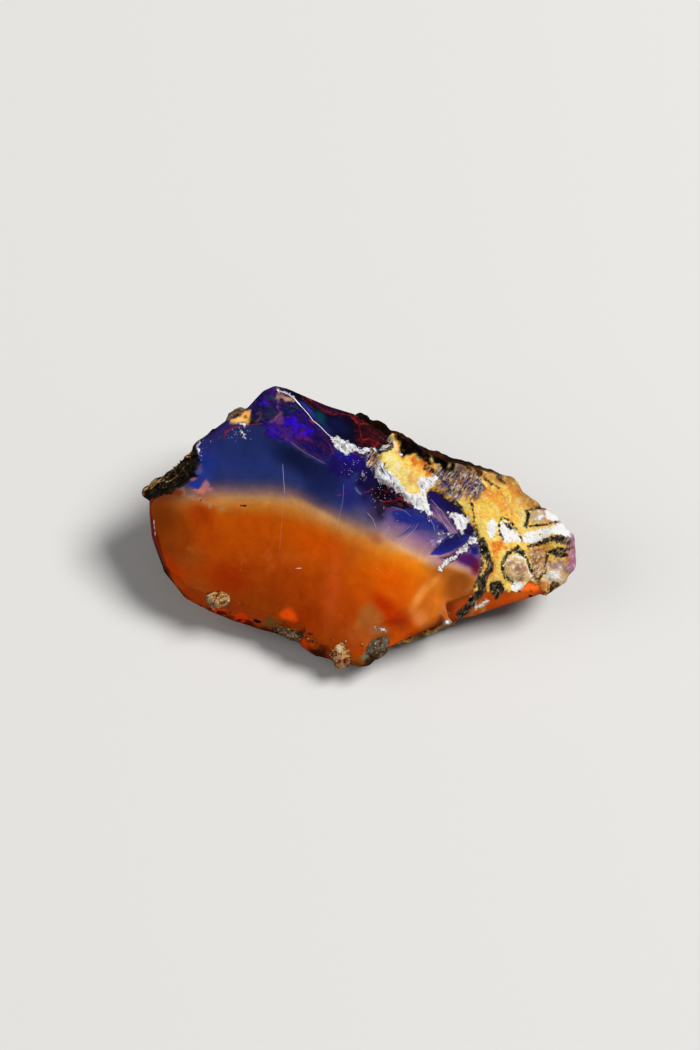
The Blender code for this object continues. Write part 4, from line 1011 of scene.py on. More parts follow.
@dataclass
class Stone:
    """The opal itself: one broken nodule, glassy at the front and wrapped in host-rock skin."""

    name: str = "opal_stone"
    voxel: float = 0.215  # mm, the grid that fuses the slab, its chips and its pebbles
    sphere_detail: int = 5
    skin_thickness: float = 0.5
    lump_size: float = 7.5
    lump_height: float = 1.3
    knuckle_size: float = 2.8
    knuckle_height: float = 0.5
    ledge_step: float = 0.8
    grain_size: float = 0.9  # mm, sandy grain of the skin
    grain_height: float = 0.16
    grit_size: float = 0.42
    grit_height: float = 0.07
    fibre_way: Point2 = (0.64, 0.77)  # the dark crust's layers run this way
    fibre_height: float = 0.3  # mm
    wall_height: float = 0.22  # mm, slow swells of the broken walls
    flake_size: float = 0.75  # mm, angular flakes of crushed glass
    flake_height: float = 0.3
    blow: Point2 = (-11.0, 14.0)  # where the blow fell that left shell-shaped ripples in the glass
    ripple_pitch: float = 5.2  # radians per mm
    ripple_height: float = 0.03  # mm
    smooth_angle: float = math.radians(42.0)

    def build(self) -> bpy.types.Object:
        """Models the stone and stores what its finish reads.

        Returns:
            The finished piece, in metres and at rest.
        """
        obj = self.raw_slab()
        for fracture in BREAKS:
            self.split(fracture)
        bpy.ops.object.mode_set(mode="OBJECT")
        self.carve(obj)
        apply_modifier(obj, "REMESH", mode="VOXEL", voxel_size=self.voxel)
        LOG.info("%s fused: %d faces", self.name, len(obj.data.polygons))
        self.roughen_and_paint(obj.data)
        obj.data.transform(at_rest())
        self.flatten_underside(obj)
        bpy.ops.object.shade_smooth_by_angle(angle=self.smooth_angle)
        return obj

    def raw_slab(self) -> bpy.types.Object:
        """Draws the outline as a flat disc and extrudes it through the stone's depth.

        Returns:
            The slab, left in edit mode.
        """
        deselect_all()
        bpy.ops.mesh.primitive_circle_add(vertices=len(OUTLINE), radius=20.0, fill_type="NGON")
        obj = bpy.context.active_object
        obj.name = self.name
        for vertex, (x, y) in zip(obj.data.vertices, reversed(OUTLINE)):
            vertex.co = (x, y, SLAB_PROUD)
        bpy.ops.object.mode_set(mode="EDIT")
        bpy.ops.mesh.select_all(action="SELECT")
        bpy.ops.mesh.extrude_region_move(
            TRANSFORM_OT_translate={"value": (0.0, 0.0, -SLAB_DEPTH - SLAB_PROUD)}
        )
        bpy.ops.mesh.select_all(action="SELECT")
        bpy.ops.mesh.normals_make_consistent(inside=False)
        return obj

    def split(self, fracture: Break) -> None:
        """Breaks away everything outside a fracture and leaves a flat face there.

        Args:
            fracture: The fracture.
        """
        LOG.debug("break: %s", fracture.name)
        point, normal = fracture.point(), fracture.normal()
        bpy.ops.mesh.select_all(action="SELECT")
        bpy.ops.mesh.bisect(plane_co=point, plane_no=normal, use_fill=True, clear_outer=True)

    def carve(self, obj: bpy.types.Object) -> None:
        """Takes the splinters and shell-shaped chips off the slab and adds its pebbles.

        Args:
            obj: The slab.
        """
        for spall in SPALLS:
            self.combine(obj, self.splinter(spall), "DIFFERENCE")
        for blob in HOLLOWS + NICKS:
            self.combine(obj, self.ellipsoid(blob), "DIFFERENCE")
        for blob in PEBBLES:
            self.combine(obj, self.ellipsoid(blob), "UNION")

    def splinter(self, spall: Spall) -> bpy.types.Object:
        """Makes the block that comes away at a spall.

        Args:
            spall: The spall.

        Returns:
            The block.
        """
        deselect_all()
        bpy.ops.mesh.primitive_cube_add(size=1.0)
        block = bpy.context.active_object
        block.name = spall.name
        block.data.transform(spall.frame())
        return block

    def ellipsoid(self, blob: Blob) -> bpy.types.Object:
        """Makes the ellipsoid of a chip or a pebble.

        Args:
            blob: Its place and size, and how knobbly it is.

        Returns:
            The ellipsoid.
        """
        deselect_all()
        bpy.ops.mesh.primitive_ico_sphere_add(subdivisions=self.sphere_detail, radius=1.0)
        ball = bpy.context.active_object
        ball.name = blob.name
        if blob.knobbly:
            for vertex in ball.data.vertices:
                swell = noise.noise(vertex.co * 2.2 + Vector(blob.centre))
                vertex.co *= 1.0 + blob.knobbly * swell
        size = Matrix.Diagonal((*blob.radii, 1.0))
        ball.data.transform(Matrix.Translation(blob.centre) @ blob.rotation() @ size)
        return ball

    def combine(self, obj: bpy.types.Object, other: bpy.types.Object, operation: str) -> None:
        """Cuts another piece from the stone, or joins it on, and removes the other.

        Args:
            obj: The stone.
            other: The other piece.
            operation: DIFFERENCE or UNION.
        """
        LOG.debug("%s: %s", operation, other.name)
        apply_modifier(obj, "BOOLEAN", operation=operation, object=other, solver="EXACT")
        bpy.data.objects.remove(other)

    def roughen_and_paint(self, mesh: bpy.types.Mesh) -> None:
        """Raises the skin's relief and stores the colour and distance fields.

        Args:
            mesh: The stone's mesh, in mm, in the window's frame.
        """
        points = vectors(mesh.vertices, "co")
        normals = vectors(mesh.vertex_normals, "vector")
        fields = Surface(points, normals).fields()
        lift = self.relief(points, normals, fields)
        mesh.vertices.foreach_set("co", (points + normals * lift[:, None]).ravel())
        mesh.update()
        for kind, values in fields.items():
            colour = values.ndim == 2
            layer = mesh.attributes.new(kind.value, "FLOAT_COLOR" if colour else "FLOAT", "POINT")
            layer.data.foreach_set("color" if colour else "value", values.astype(np.float32).ravel())

    def relief(self, points: np.ndarray, normals: np.ndarray, fields: dict[Field, np.ndarray]) -> np.ndarray:
        """How far each point moves out along its normal.

        Args:
            points: One row per point, in mm.
            normals: Which way the surface faces there.
            fields: The stone's fields, from Surface.

        Returns:
            The height in mm, negative for a pit.
        """
        share = smoothstep(-0.15, 0.4, np.maximum(fields[Field.SKIN], fields[Field.CRUST]))
        lumps = noise_at(points, self.lump_size, NOISE_SEED)
        knuckles = noise_at(points, self.knuckle_size, -NOISE_SEED)
        grain = noise_at(points, self.grain_size, NOISE_SEED.yzx)
        grit = noise_at(points, self.grit_size, NOISE_SEED.zxy)
        behind = smoothstep(5.0, 9.0, -points[:, 2])
        level = np.floor(lumps * self.lump_height / self.ledge_step)
        tread = smoothstep(0.3, 0.7, lumps * self.lump_height / self.ledge_step - level)
        tame = 1.0 - 0.7 * smoothstep(-0.2, 0.4, fields[Field.CRUST])
        height = self.skin_thickness + lumps * self.lump_height * (0.6 - 0.1 * behind) * tame
        height += 0.5 * behind * (level + tread) * self.ledge_step
        height += np.abs(knuckles) * self.knuckle_height * tame
        for middle, radius, rise in MARKS:
            away = np.linalg.norm(points - np.array(middle), axis=1)
            height += rise * smoothstep(1.25 * radius, 0.6 * radius, away)
        height += grain * self.grain_height + grit * self.grit_height
        height *= share
        flakes = self.flakes(points)
        crust = smoothstep(0.0, 0.5, fields[Field.CRUST])
        cos, sin = self.fibre_way
        along, over = points[:, 0] * cos + points[:, 1] * sin, points[:, 1] * cos - points[:, 0] * sin
        fibres = noise_at(np.column_stack((along * 0.5, over * 1.6, points[:, 2] * 1.8)), 0.9, NOISE_SEED)
        sunk = 0.3 + 0.3 * smoothstep(0.8, 2.6, points[:, 1]) - 0.5 * smoothstep(-22.8, -24.0, points[:, 0])
        height += crust * (fibres * self.fibre_height + 0.2 * flakes * self.flake_height - sunk)
        pebble = smoothstep(-0.05, 0.2, fields[Field.PEBBLE])
        height += pebble * (grain * 0.14 + grit * 0.12 + flakes * 0.1)
        crushed = np.maximum(fields[Field.BRUISE], fields[Field.STAIN])
        crushed = np.maximum(crushed, 0.5 * fields[Field.CRACKLE])
        height += smoothstep(-0.2, 0.55, crushed) * flakes * self.flake_height
        bare = 1.0 - np.maximum(share, pebble)
        shell = np.hypot(points[:, 0] - self.blow[0], points[:, 1] - self.blow[1])
        ripples = np.sin(shell * self.ripple_pitch + 2.0 * grain)
        ripples = ripples * smoothstep(0.0, 1.0, fields[Field.FIRE])
        walls = smoothstep(0.4, 1.6, -points[:, 2]) * smoothstep(9.0, 7.5, points[:, 1])
        return height + bare * (ripples * self.ripple_height + walls * knuckles * self.wall_height)

    def flakes(self, points: np.ndarray) -> np.ndarray:
        """Breaks the surface into flat flakes, each at its own level and with its own tilt.

        Args:
            points: One row per point, in mm.

        Returns:
            Their heights, from -1 to 1.
        """
        heights = np.empty(len(points))
        for index, point in enumerate(points):
            at = Vector(point) / self.flake_size
            middle = noise.voronoi(at)[1][0]
            tilt = noise.cell_vector(middle * 9.0) - Vector((0.5, 0.5, 0.5))
            heights[index] = 2.0 * tilt.z + 2.0 * tilt.dot(at - middle)
        return np.clip(heights, -1.0, 1.0)

    def flatten_underside(self, obj: bpy.types.Object) -> None:
        """Breaks the skin off flat where the stone lies.

        Args:
            obj: The stone, at rest.
        """
        deselect_all()
        obj.select_set(True)
        bpy.context.view_layer.objects.active = obj
        bpy.ops.object.mode_set(mode="EDIT")
        bpy.ops.mesh.select_all(action="SELECT")
        bpy.ops.mesh.bisect(
            plane_co=(0, 0, 0), plane_no=(0, 0, -1), use_fill=True, clear_outer=True, threshold=1e-7
        )
        bpy.ops.object.mode_set(mode="OBJECT")


@dataclass
class Surface:
    """The fields that the stone's finish and relief read, worked out at each point of its surface."""

    points: np.ndarray
    normals: np.ndarray
    x: np.ndarray = field(init=False)
    y: np.ndarray = field(init=False)
    behind: np.ndarray = field(init=False)
    wander: list[np.ndarray] = field(init=False)  # sideways shifts that make a wash's edge ragged

    def __post_init__(self) -> None:
        """Splits the points into their three coordinates and works out the shifts."""
        self.x, self.y, z = self.points.T
        self.behind = -z
        self.wander = [
            2.0 * (noise_at(self.points, 0.9, offset) + 0.6 * noise_at(self.points, 0.4, offset))
            for offset in (NOISE_SEED, -NOISE_SEED)
        ]

    def fields(self) -> dict[Field, np.ndarray]:
        """Works out every field.

        Returns:
            Linear colours, and depths inside areas in mm.
        """
        worn = self.behind + 1.6 * noise_at(self.points, 1.6, NOISE_SEED.zyx)
        front = smoothstep(FRONT_DEPTH + 1.5, FRONT_DEPTH - 0.5, worn)
        fade = np.maximum(worn - FRONT_DEPTH, 0.0)
        fields = {
            Field.GLASS: self.as_linear(self.glass(front)),
            Field.RIND: self.as_linear(self.rind(front)),
            Field.SKIN: self.skin(),
            Field.CRUST: np.minimum(CRUST_EDGE.depth(self.x, self.y), 9.0 - self.behind),
            Field.PEBBLE: np.maximum.reduce([blob.depth(self.points) for blob in PEBBLES]) + 0.12,
        }
        for kind, areas in (
            (Field.BRUISE, BRUISES_AND_GLINTS), (Field.STAIN, STAINS), (Field.FLECK, FLECKS), (Field.CHALK, CHALKS),
            (Field.CRACKLE, CRACKLES), (Field.DUST, DUSTS), (Field.NET, NETS), (Field.FIRE, FIERY),
        ):
            fields[kind] = union(areas, self.x, self.y) - fade
        fields[Field.BRUISE] -= 0.4 * smoothstep(2.0, 3.0, self.behind)
        on_wall = fade + 2.0 * smoothstep(1.8, 2.8, self.behind)
        fields[Field.EMBER], fields[Field.EMBER_ON] = self.lines(EMBERS, fade)
        fields[Field.HAIR], fields[Field.HAIR_ON] = self.lines(HAIRLINES_AND_GLINTS, on_wall)
        fields[Field.GILT], fields[Field.GILT_ON] = self.lines(GILTS, fade)
        return fields

    def as_linear(self, colour: np.ndarray) -> np.ndarray:
        """The colours in linear light, with alpha 1."""
        return np.column_stack([linear(np.clip(colour, 0.0, 1.0)), np.ones(len(colour))])

    def skin(self) -> np.ndarray:
        """Finds where the host-rock skin lies.

        Returns:
            Depth inside it in mm, negative on bare glass.
        """
        wobble = noise_at(self.points, 1.1, NOISE_SEED)
        on_end = SKIN_EDGE.depth(self.x + 1.8 * wobble * smoothstep(0.8, 3.0, self.behind), self.y)
        strip = bearing_vector(-65.0, 30.0)
        faces_strip = smoothstep(0.86, 0.94, self.normals @ np.array(strip))
        on_strip = faces_strip * smoothstep(9.4, 8.0, self.behind) * smoothstep(10.0, 12.0, self.x)
        low = RED_STRIP.depth(self.x, self.y) - 1.6 * np.maximum(self.behind - 7.4, 0.0)
        windows = noise_at(self.points, 5.2, NOISE_SEED.zxy) * 6.0 + 1.5 * wobble + 3.6
        bevel = 3.0 * smoothstep(7.0, 10.0, self.y) * smoothstep(4.5, 1.0, self.x)
        on_back = self.behind - SKIN_DEPTH - bevel + 1.6 * wobble
        on_back = np.minimum(on_back, np.maximum(windows, 10.0 - self.behind))
        whole = np.maximum(on_end - 0.25 * np.maximum(self.behind - 7.0, 0.0), on_back)
        return np.minimum(whole, -np.maximum(low, 2.0 * on_strip - 1.0))

    def lines(self, lines: tuple[Line, ...], fade: np.ndarray) -> tuple[np.ndarray, np.ndarray]:
        """Where each point is beside the nearest of several hair-thin lines.

        Args:
            lines: The lines.
            fade: How far past the front each point is, in mm.

        Returns:
            The signed distance to the line in half widths, and how strongly the line shows there.
        """
        best = np.full(len(self.x), np.inf)
        side = np.zeros(len(self.x))
        shown = np.zeros(len(self.x))
        for line in lines:
            across, past = line.across(self.x, self.y)
            away = np.hypot(across, past)
            nearer = away < best
            best = np.where(nearer, away, best)
            side = np.where(nearer, across / (line.width / 2), side)
            on = line.strength * smoothstep(0.3, 0.0, past + fade) * smoothstep(0.6, 0.35, away)
            shown = np.where(nearer, on, shown)
        return side, shown

    def washed(self, colour: np.ndarray, washes: Iterable[Wash], shown: np.ndarray) -> np.ndarray:
        """Lays washes over a colour, in order.

        Args:
            colour: One row of sRGB values per point.
            washes: The washes.
            shown: How much of them shows at each point, from 0 to 1.

        Returns:
            The new colours.
        """
        for wash in washes:
            x, y = self.x + wash.ragged * self.wander[0], self.y + wash.ragged * self.wander[1]
            colour = blend(colour, wash.hue, wash.amount(x, y) * shown)
        return colour

    def glass(self, front: np.ndarray) -> np.ndarray:
        """Colours the bare glass: blue over orange, with its clouds and facets.

        Args:
            front: How much each point is on the front, from 0 to 1.

        Returns:
            One row of sRGB values per point.
        """
        height, _ = BAND_LINE.across(self.x, self.y)
        along = smoothstep(-4.0, 6.0, self.x)
        colour = blend(graded(height, LEFT_GRADE), graded(height, RIGHT_GRADE), along)
        chipped = smoothstep(-12.0, -13.5, self.x) * smoothstep(1.2, 2.4, self.behind)
        return self.rims(self.washed(colour, GLASS_WASHES, front * (1.0 - chipped)), height)

    def rims(self, colour: np.ndarray, height: np.ndarray) -> np.ndarray:
        """Darkens the broken walls round the window as painted shade, more deeply behind it: dark red at the
        left, with a painted orange glow below.

        Args:
            colour: One row of sRGB values per point.
            height: How far each point is above the band's line, in mm.

        Returns:
            The new colours.
        """
        bevel = smoothstep(8.0, 9.5, self.y) * smoothstep(3.5, 1.5, self.x)
        bevel = bevel * smoothstep(6.0, 4.5, self.behind)
        glow = smoothstep(-8.0, -10.0, self.y) * smoothstep(-20.0, -17.0, self.x)
        glow = glow * smoothstep(9.0, 5.0, self.x)
        # painted shade: the walls darken with depth behind the window, later along the lower rim, which keeps
        # a painted glow
        deep = smoothstep(0.25, 1.5, self.behind - 1.1 * glow) * (1.0 - bevel)
        left = smoothstep(-15.0, -19.0, self.x)
        right = smoothstep(10.0, 13.0, self.x) * smoothstep(0.5, -1.5, self.y)
        low = np.maximum(smoothstep(1.0, -1.5, height), right)
        swirl = 0.5 + 0.5 * noise_at(self.points, 2.6, NOISE_SEED)
        # painted shade and painted glow for the walls: near black at the left, glowing orange at the lower
        # right
        shade_and_glow = blend(blend("#4e1204", "#2c0603", left), "#f46a0a", right)
        shade_and_glow = blend(shade_and_glow, "#a8420a", 0.35 * swirl)
        wall = blend(blend("#17123a", "#3c1240", 0.4 * swirl), shade_and_glow, low)
        honey = blend("#7a2a06", "#3c1004", swirl)
        wall = blend(wall, honey, smoothstep(3.0, 8.0, self.behind))
        on_wall = smoothstep(0.0, 0.14, self.behind) * smoothstep(8.5, 6.5, self.behind)
        below = smoothstep(-12.4, -13.0, self.y) * smoothstep(5.0, 4.0, self.behind)
        return self.washed(blend(colour, wall, 0.85 * deep), RIM_WASHES, np.maximum(on_wall, below))

    def rind(self, front: np.ndarray) -> np.ndarray:
        """Colours the skin: yellow at the front's end, ochre and brown behind, near black on the top that
        faces up, partly crust and partly painted shade.

        Args:
            front: How much each point is on the front, from 0 to 1.

        Returns:
            One row of sRGB values per point.
        """
        swell = 0.5 + 0.5 * noise_at(self.points, 3.4, NOISE_SEED.zxy)
        fine = 0.5 + 0.5 * noise_at(self.points, 0.7, NOISE_SEED.yzx)
        ochre = blend("#a9763c", "#7a5230", swell)
        ochre = blend(ochre, "#c9a574", 0.6 * smoothstep(0.55, 0.9, fine))
        # the upward-facing top goes near black: partly dark crust, partly painted shade
        soot_and_shade = smoothstep(0.1, 0.6, self.normals[:, 1]) * smoothstep(6.0, 9.0, self.y)
        soot_and_shade_hue = blend("#0e0704", "#582408", smoothstep(0.5, 0.8, swell))
        far = smoothstep(3.2, 6.6, self.behind + 1.4 * (swell - 0.5))
        colour = blend(blend("#ffcc5e", "#fff0a2", fine), blend(ochre, soot_and_shade_hue, 0.95 * soot_and_shade), far)
        tip = smoothstep(22.0, 23.6, self.x)
        shown = np.maximum(front * (1.0 - 0.7 * far), tip * smoothstep(13.0, 10.0, self.behind))
        return self.washed(colour, SKIN_WASHES, shown)


# ---- finishes

NOISE = "ShaderNodeTexNoise"
CELLS = "ShaderNodeTexVoronoi"
MATH = "ShaderNodeMath"
MIX = "ShaderNodeMix"
RAMP = "ShaderNodeValToRGB"
RANGE = "ShaderNodeMapRange"
STORED = "ShaderNodeAttribute"
SOFT_LIGHT = {"data_type": "RGBA", "blend_type": "SOFT_LIGHT"}

Stops = tuple[tuple[float, str], ...]


def add(tree: bpy.types.NodeTree, kind: str, inputs: dict[str, Any] | tuple = (), stops: Stops = (),
        output: str = "", **settings: Any) -> Any:
    """Adds a node with its settings and links.

    Args:
        tree: The material's node tree.
        kind: The node's type.
        inputs: Values or sockets for its inputs, by name, or in order as a tuple.
        stops: A colour ramp's stops, as positions and sRGB hex codes.
        output: Name of the output wanted, or the first one in use.
        settings: The node's own settings.

    Returns:
        The output socket.
    """
    node = tree.nodes.new(kind)
    for name, value in settings.items():
        setattr(node.color_ramp if name == "interpolation" else node, name, value)
    sockets = [socket for socket in node.inputs if socket.enabled]
    named = {socket.name: socket for socket in sockets}
    pairs = inputs.items() if isinstance(inputs, dict) else enumerate(inputs)
    for key, value in pairs:
        socket = named[key] if isinstance(key, str) else sockets[key]
        if isinstance(value, bpy.types.NodeSocket):
            tree.links.new(value, socket)
        elif isinstance(value, str):
            socket.default_value = linear(value)
        else:
            socket.default_value = value
    for index, (position, hue) in enumerate(stops):
        elements = node.color_ramp.elements
        stop = elements[index] if index < 2 else elements.new(position)
        stop.position = position
        stop.color = linear(hue)
    if output:
        return node.outputs[output]
    return next((socket for socket in node.outputs if socket.enabled), None)


def bare_material(name: str) -> bpy.types.Material:
    """Makes a material with no nodes yet.

    Args:
        name: Its name.

    Returns:
        The material.
    """
    material = bpy.data.materials.new(name)
    material.use_nodes = True
    material.node_tree.nodes.clear()
    return material


@dataclass
class Coat:
    """A surface's colour, roughness and height in mm, built up from its deepest layer."""

    tree: bpy.types.NodeTree
    place: Any  # coordinates in mm, in the window's frame
    ragged: Any = None  # noise around 0.5 that frays the edges
    colour: Any = None
    roughness: Any = None
    height: Any = None

    def add(self, kind: str, inputs: dict[str, Any] | tuple = (), stops: Stops = (), **settings: Any) -> Any:
        """Adds a node. A texture reads the place in mm, unless its inputs name another Vector.

        Args:
            kind: The node's type.
            inputs: Values or sockets for its inputs.
            stops: A colour ramp's stops.
            settings: The node's own settings, or its output's name.

        Returns:
            The output socket.
        """
        if kind in (NOISE, CELLS):
            inputs = {"Vector": self.place, **inputs}
        return add(self.tree, kind, inputs, stops, **settings)

    def lay(self, mask: Any, colour: Any = None, roughness: Any = None, height: Any = None) -> None:
        """Covers the layers below where the mask is 1.

        Args:
            mask: Where the new layer lies, from 0 to 1.
            colour: Its colour, or nothing to keep what is below.
            roughness: Its roughness, or nothing.
            height: Its height in mm, or nothing.
        """
        if colour is not None:
            self.colour = self.add(MIX, (mask, self.colour, colour), data_type="RGBA")
        if roughness is not None:
            self.roughness = self.add(MIX, (mask, self.roughness, roughness))
        if height is not None:
            self.height = self.add(MIX, (mask, self.height, height))

    def inside(self, kind: Field, wander: float, soft: float, ragged: Any = None) -> Any:
        """Where a stored area lies, with a ragged edge.

        Args:
            kind: The area.
            wander: How far the edge moves, in mm.
            soft: Half the width of the edge, in mm.
            ragged: Noise around 0.5 that moves its edge, if not the coat's own.

        Returns:
            A socket from 0 outside to 1 inside.
        """
        depth = self.add(STORED, output="Fac", attribute_name=kind.value)
        noise = self.ragged if ragged is None else ragged
        moved = self.add(MATH, (noise, 4.0 * wander, depth), operation="MULTIPLY_ADD")
        edge = (moved, 2.0 * wander - soft, 2.0 * wander + soft)
        return self.add(RANGE, edge, interpolation_type="SMOOTHSTEP")

    def near_line(self, position: Field, lit: Field, wander: float) -> Any:
        """Where a stored hairline runs.

        Args:
            position: The signed distance to the line, in half widths.
            lit: How strongly the line shows.
            wander: How far noise moves the line, in widths.

        Returns:
            A socket from 0 off the line to its strength on it.
        """
        side = self.add(STORED, output="Fac", attribute_name=position.value)
        side = self.add(MATH, (self.ragged, 2.0 * wander, side), operation="MULTIPLY_ADD")
        side = self.add(MATH, (side, wander), operation="SUBTRACT")
        near = self.add(MATH, (side,), operation="ABSOLUTE")
        near = self.add(RANGE, (near, 1.15, 0.55), interpolation_type="SMOOTHSTEP")
        shown = self.add(STORED, output="Fac", attribute_name=lit.value)
        return self.add(MATH, (near, shown), operation="MULTIPLY")

    def drawn_out(self, turn: float, size: Point3, hues: Stops) -> tuple[Any, Any]:
        """A broken-up pattern drawn out into streaks.

        Args:
            turn: How far the streaks are turned clockwise from upright, in degrees.
            size: A streak's size across, along and into the stone, in mm.
            hues: The colours, by the noise's value.

        Returns:
            The colour socket and the noise's own.
        """
        drawn = self.stretched(turn, size)
        value = self.add(NOISE, {"Vector": drawn, "Scale": 1.0, "Detail": 6.0, "Roughness": 0.72,
                                 "Distortion": 0.6})
        return self.add(RAMP, (value,), hues), value

    def stretched(self, turn: float, size: Point3) -> Any:
        """Coordinates turned clockwise by degrees, whose unit is size mm across, along and inwards."""
        inputs = (self.place, (0.0,) * 3, (0.0, 0.0, math.radians(-turn)), size)
        return self.add("ShaderNodeMapping", inputs, vector_type="TEXTURE")

    def specks(self, scale: float, size: float, share: float) -> Any:
        """Small round specks.

        Args:
            scale: How many specks there are per mm.
            size: A speck's radius, as a share of its spacing.
            share: How much of the surface has specks.

        Returns:
            A socket, 0 between the specks.
        """
        speck = self.add(CELLS, {"Scale": scale})
        speck = self.add(RANGE, (speck, size, 0.6 * size), interpolation_type="SMOOTHSTEP")
        thin = self.add(NOISE, {"Scale": 0.9, "Detail": 3.0})
        thin = self.add(RANGE, (thin, 1.0 - share, 1.05 - share, 0.0, 0.8))
        return self.add(MATH, (speck, thin), operation="MULTIPLY")


@dataclass(frozen=True)
class OpalFinish:
    """Precious opal as found: broken glass, waxy where it is bare, in dull opalised host rock."""

    name: str = "rough_opal_in_host_rock"
    refraction: float = 1.45  # opal
    glow: float = 0.22  # light that enters the glass and comes out again near by
    glow_radius: tuple[float, float, float] = (1.0, 0.5, 0.3)
    glow_depth: float = 0.0011
    glass_gloss: float = 0.09
    specular: float = 0.14  # bare fractures are not polished
    edge_wander: float = 0.22  # mm, how ragged the edge of the skin is
    # Facets that break light into colour
    fire_hues: Stops = (
        (0.3, "#060c18"), (0.38, "#0a3238"), (0.43, "#120c2c"), (0.47, "#3a14c4"), (0.51, "#140c30"),
        (0.55, "#7c4470"), (0.58, "#1e1038"), (0.63, "#3c10a0"), (0.67, "#a07c58"), (0.71, "#1a0e34"),
    )
    ember_hues: Stops = ((0.3, "#2a0810"), (0.45, "#641412"), (0.6, "#a82810"), (0.75, "#e06a30"))
    # pale hairlines, and the painted glints on the ridge and the left rim
    hair_and_glint_hue: str = "#efe6ea"
    dust_hue: str = "#b8aac4"
    # Crushed glass looks white, with lilac and smoke-grey fibres; the painted glints take the same hues
    bruise_and_glint_hues: Stops = ((0.33, "#5c5078"), (0.39, "#a89cb8"), (0.45, "#ece8ec"), (0.51, "#ffffff"))
    crackle_size: float = 0.3  # mm, one flake of the crackle
    crackle_hues: Stops = (
        (0.0, "#4a3a66"), (0.13, "#b98a52"), (0.24, "#2a1c2a"), (0.33, "#e9c98c"), (0.45, "#8a78a8"),
        (0.56, "#f2e6d0"), (0.64, "#5c3a34"), (0.74, "#c9822c"), (0.83, "#a49ab4"), (0.92, "#1c1420"),
    )
    mottle_hues: Stops = (
        (0.3, "#6e3a10"), (0.38, "#a8621c"), (0.46, "#84786c"), (0.54, "#989488"), (0.6, "#d4ccb4"),
        (0.68, "#ffffff"),
    )
    chalk_hues: Stops = ((0.28, "#c6a67a"), (0.38, "#f4e8cc"), (0.46, "#ffffff"))
    stain_hues: Stops = (
        (0.4, "#0c0a09"), (0.47, "#26211e"), (0.53, "#514a42"), (0.6, "#8f7346"), (0.67, "#d8c08a"),
    )
    crust_hues: Stops = (
        (0.4, "#060505"), (0.5, "#16120e"), (0.58, "#3a3024"), (0.64, "#1c110a"), (0.7, "#8a4c18"),
        (0.77, "#b8904c"), (0.88, "#ecdcac"),
    )
    fleck_hue: str = "#120b08"
    pebble_hues: Stops = (
        (0.34, "#3a200e"), (0.41, "#9a6632"), (0.48, "#e0ba84"), (0.54, "#fff0d0"), (0.62, "#ffffff"),
    )

    def material(self) -> bpy.types.Material:
        """Builds the finish from the stone's stored fields and fine patterns of real size.

        Returns:
            The material.
        """
        material = bare_material(self.name)
        tree = material.node_tree
        turn = Matrix.Rotation(-WINDOW_TILT, 3, "X")
        origin = turn @ Vector((-MIDDLE[0], -MIDDLE[1], REST_DEPTH))
        held = add(tree, "ShaderNodeTexCoord", output="Object")
        place = add(tree, "ShaderNodeMapping", (held, -origin, (-WINDOW_TILT, 0.0, 0.0), (1 / MM,) * 3))
        coat = Coat(tree, place)
        coat.ragged = coat.add(NOISE, {"Scale": 2.2, "Detail": 4.0, "Roughness": 0.62})
        self.glass(coat)
        self.skin(coat)
        self.bruises_and_glints(coat)
        bump = coat.add("ShaderNodeBump", {"Strength": 1.0, "Distance": MM, "Height": coat.height})
        shader = coat.add("ShaderNodeBsdfPrincipled", {
            "Base Color": coat.colour, "Roughness": coat.roughness, "IOR": self.refraction,
            "Subsurface Weight": self.glow, "Subsurface Radius": self.glow_radius,
            "Subsurface Scale": self.glow_depth, "Specular IOR Level": self.specular, "Normal": bump,
        })
        coat.add("ShaderNodeOutputMaterial", {"Surface": shader})
        return material

    def glass(self, coat: Coat) -> None:
        """Bare glass: stored colour, drifting haze, flecked facets, fiery cracks, pale scratches and painted
        glints along the ridge and left rim.

        Args:
            coat: The stone's coat.
        """
        colour = coat.add(STORED, output="Color", attribute_name=Field.GLASS.value)
        haze = coat.add(NOISE, {"Scale": 0.55, "Detail": 5.0, "Roughness": 0.6, "Distortion": 0.6})
        haze = coat.add(RANGE, (haze, 0.3, 0.7, 0.38, 0.62))
        colour = coat.add(MIX, (0.7, colour, haze), **SOFT_LIGHT)
        smear = coat.add(NOISE, {"Scale": 3.0, "Detail": 4.0, "Roughness": 0.7})
        smear = coat.add(RANGE, (smear, 0.3, 0.7, 0.465, 0.535))
        colour = coat.add(MIX, (0.8, colour, smear), **SOFT_LIGHT)
        streak, _ = coat.drawn_out(4.0, (1.7, 8.0, 2.5), ((0.35, "#7a7a7a"), (0.65, "#868686")))
        coat.colour = coat.add(MIX, (0.7, colour, streak), **SOFT_LIGHT)
        gloss = self.glass_gloss
        coat.roughness = coat.add(RANGE, (coat.ragged, 0.35, 0.75, gloss, gloss + 0.12))
        waves = coat.add(NOISE, {"Scale": 0.5, "Detail": 2.0})
        coat.height = coat.add(MATH, (waves, 0.12), operation="MULTIPLY")
        fire = coat.add(MATH, (coat.inside(Field.FIRE, 0.2, 0.3), 0.18), operation="MULTIPLY")
        coat.lay(fire, coat.drawn_out(120.0, (0.5, 1.7, 1.0), self.fire_hues)[0])
        self.net(coat)
        self.dust(coat)
        coat.lay(coat.near_line(Field.EMBER, Field.EMBER_ON, 0.75), self.glow_hue(coat), 0.3)
        coat.lay(coat.near_line(Field.HAIR, Field.HAIR_ON, 0.5), self.hair_and_glint_hue, 0.3)
        coat.lay(coat.inside(Field.FLECK, 0.06, 0.04), self.fleck_hue, 0.5)

    def glow_hue(self, coat: Coat) -> Any:
        """The colour of a lit crack, which flickers from nearly black to orange along its length."""
        flicker = coat.add(NOISE, {"Scale": 1.6, "Detail": 4.0, "Roughness": 0.7})
        return coat.add(RAMP, (flicker,), self.ember_hues)

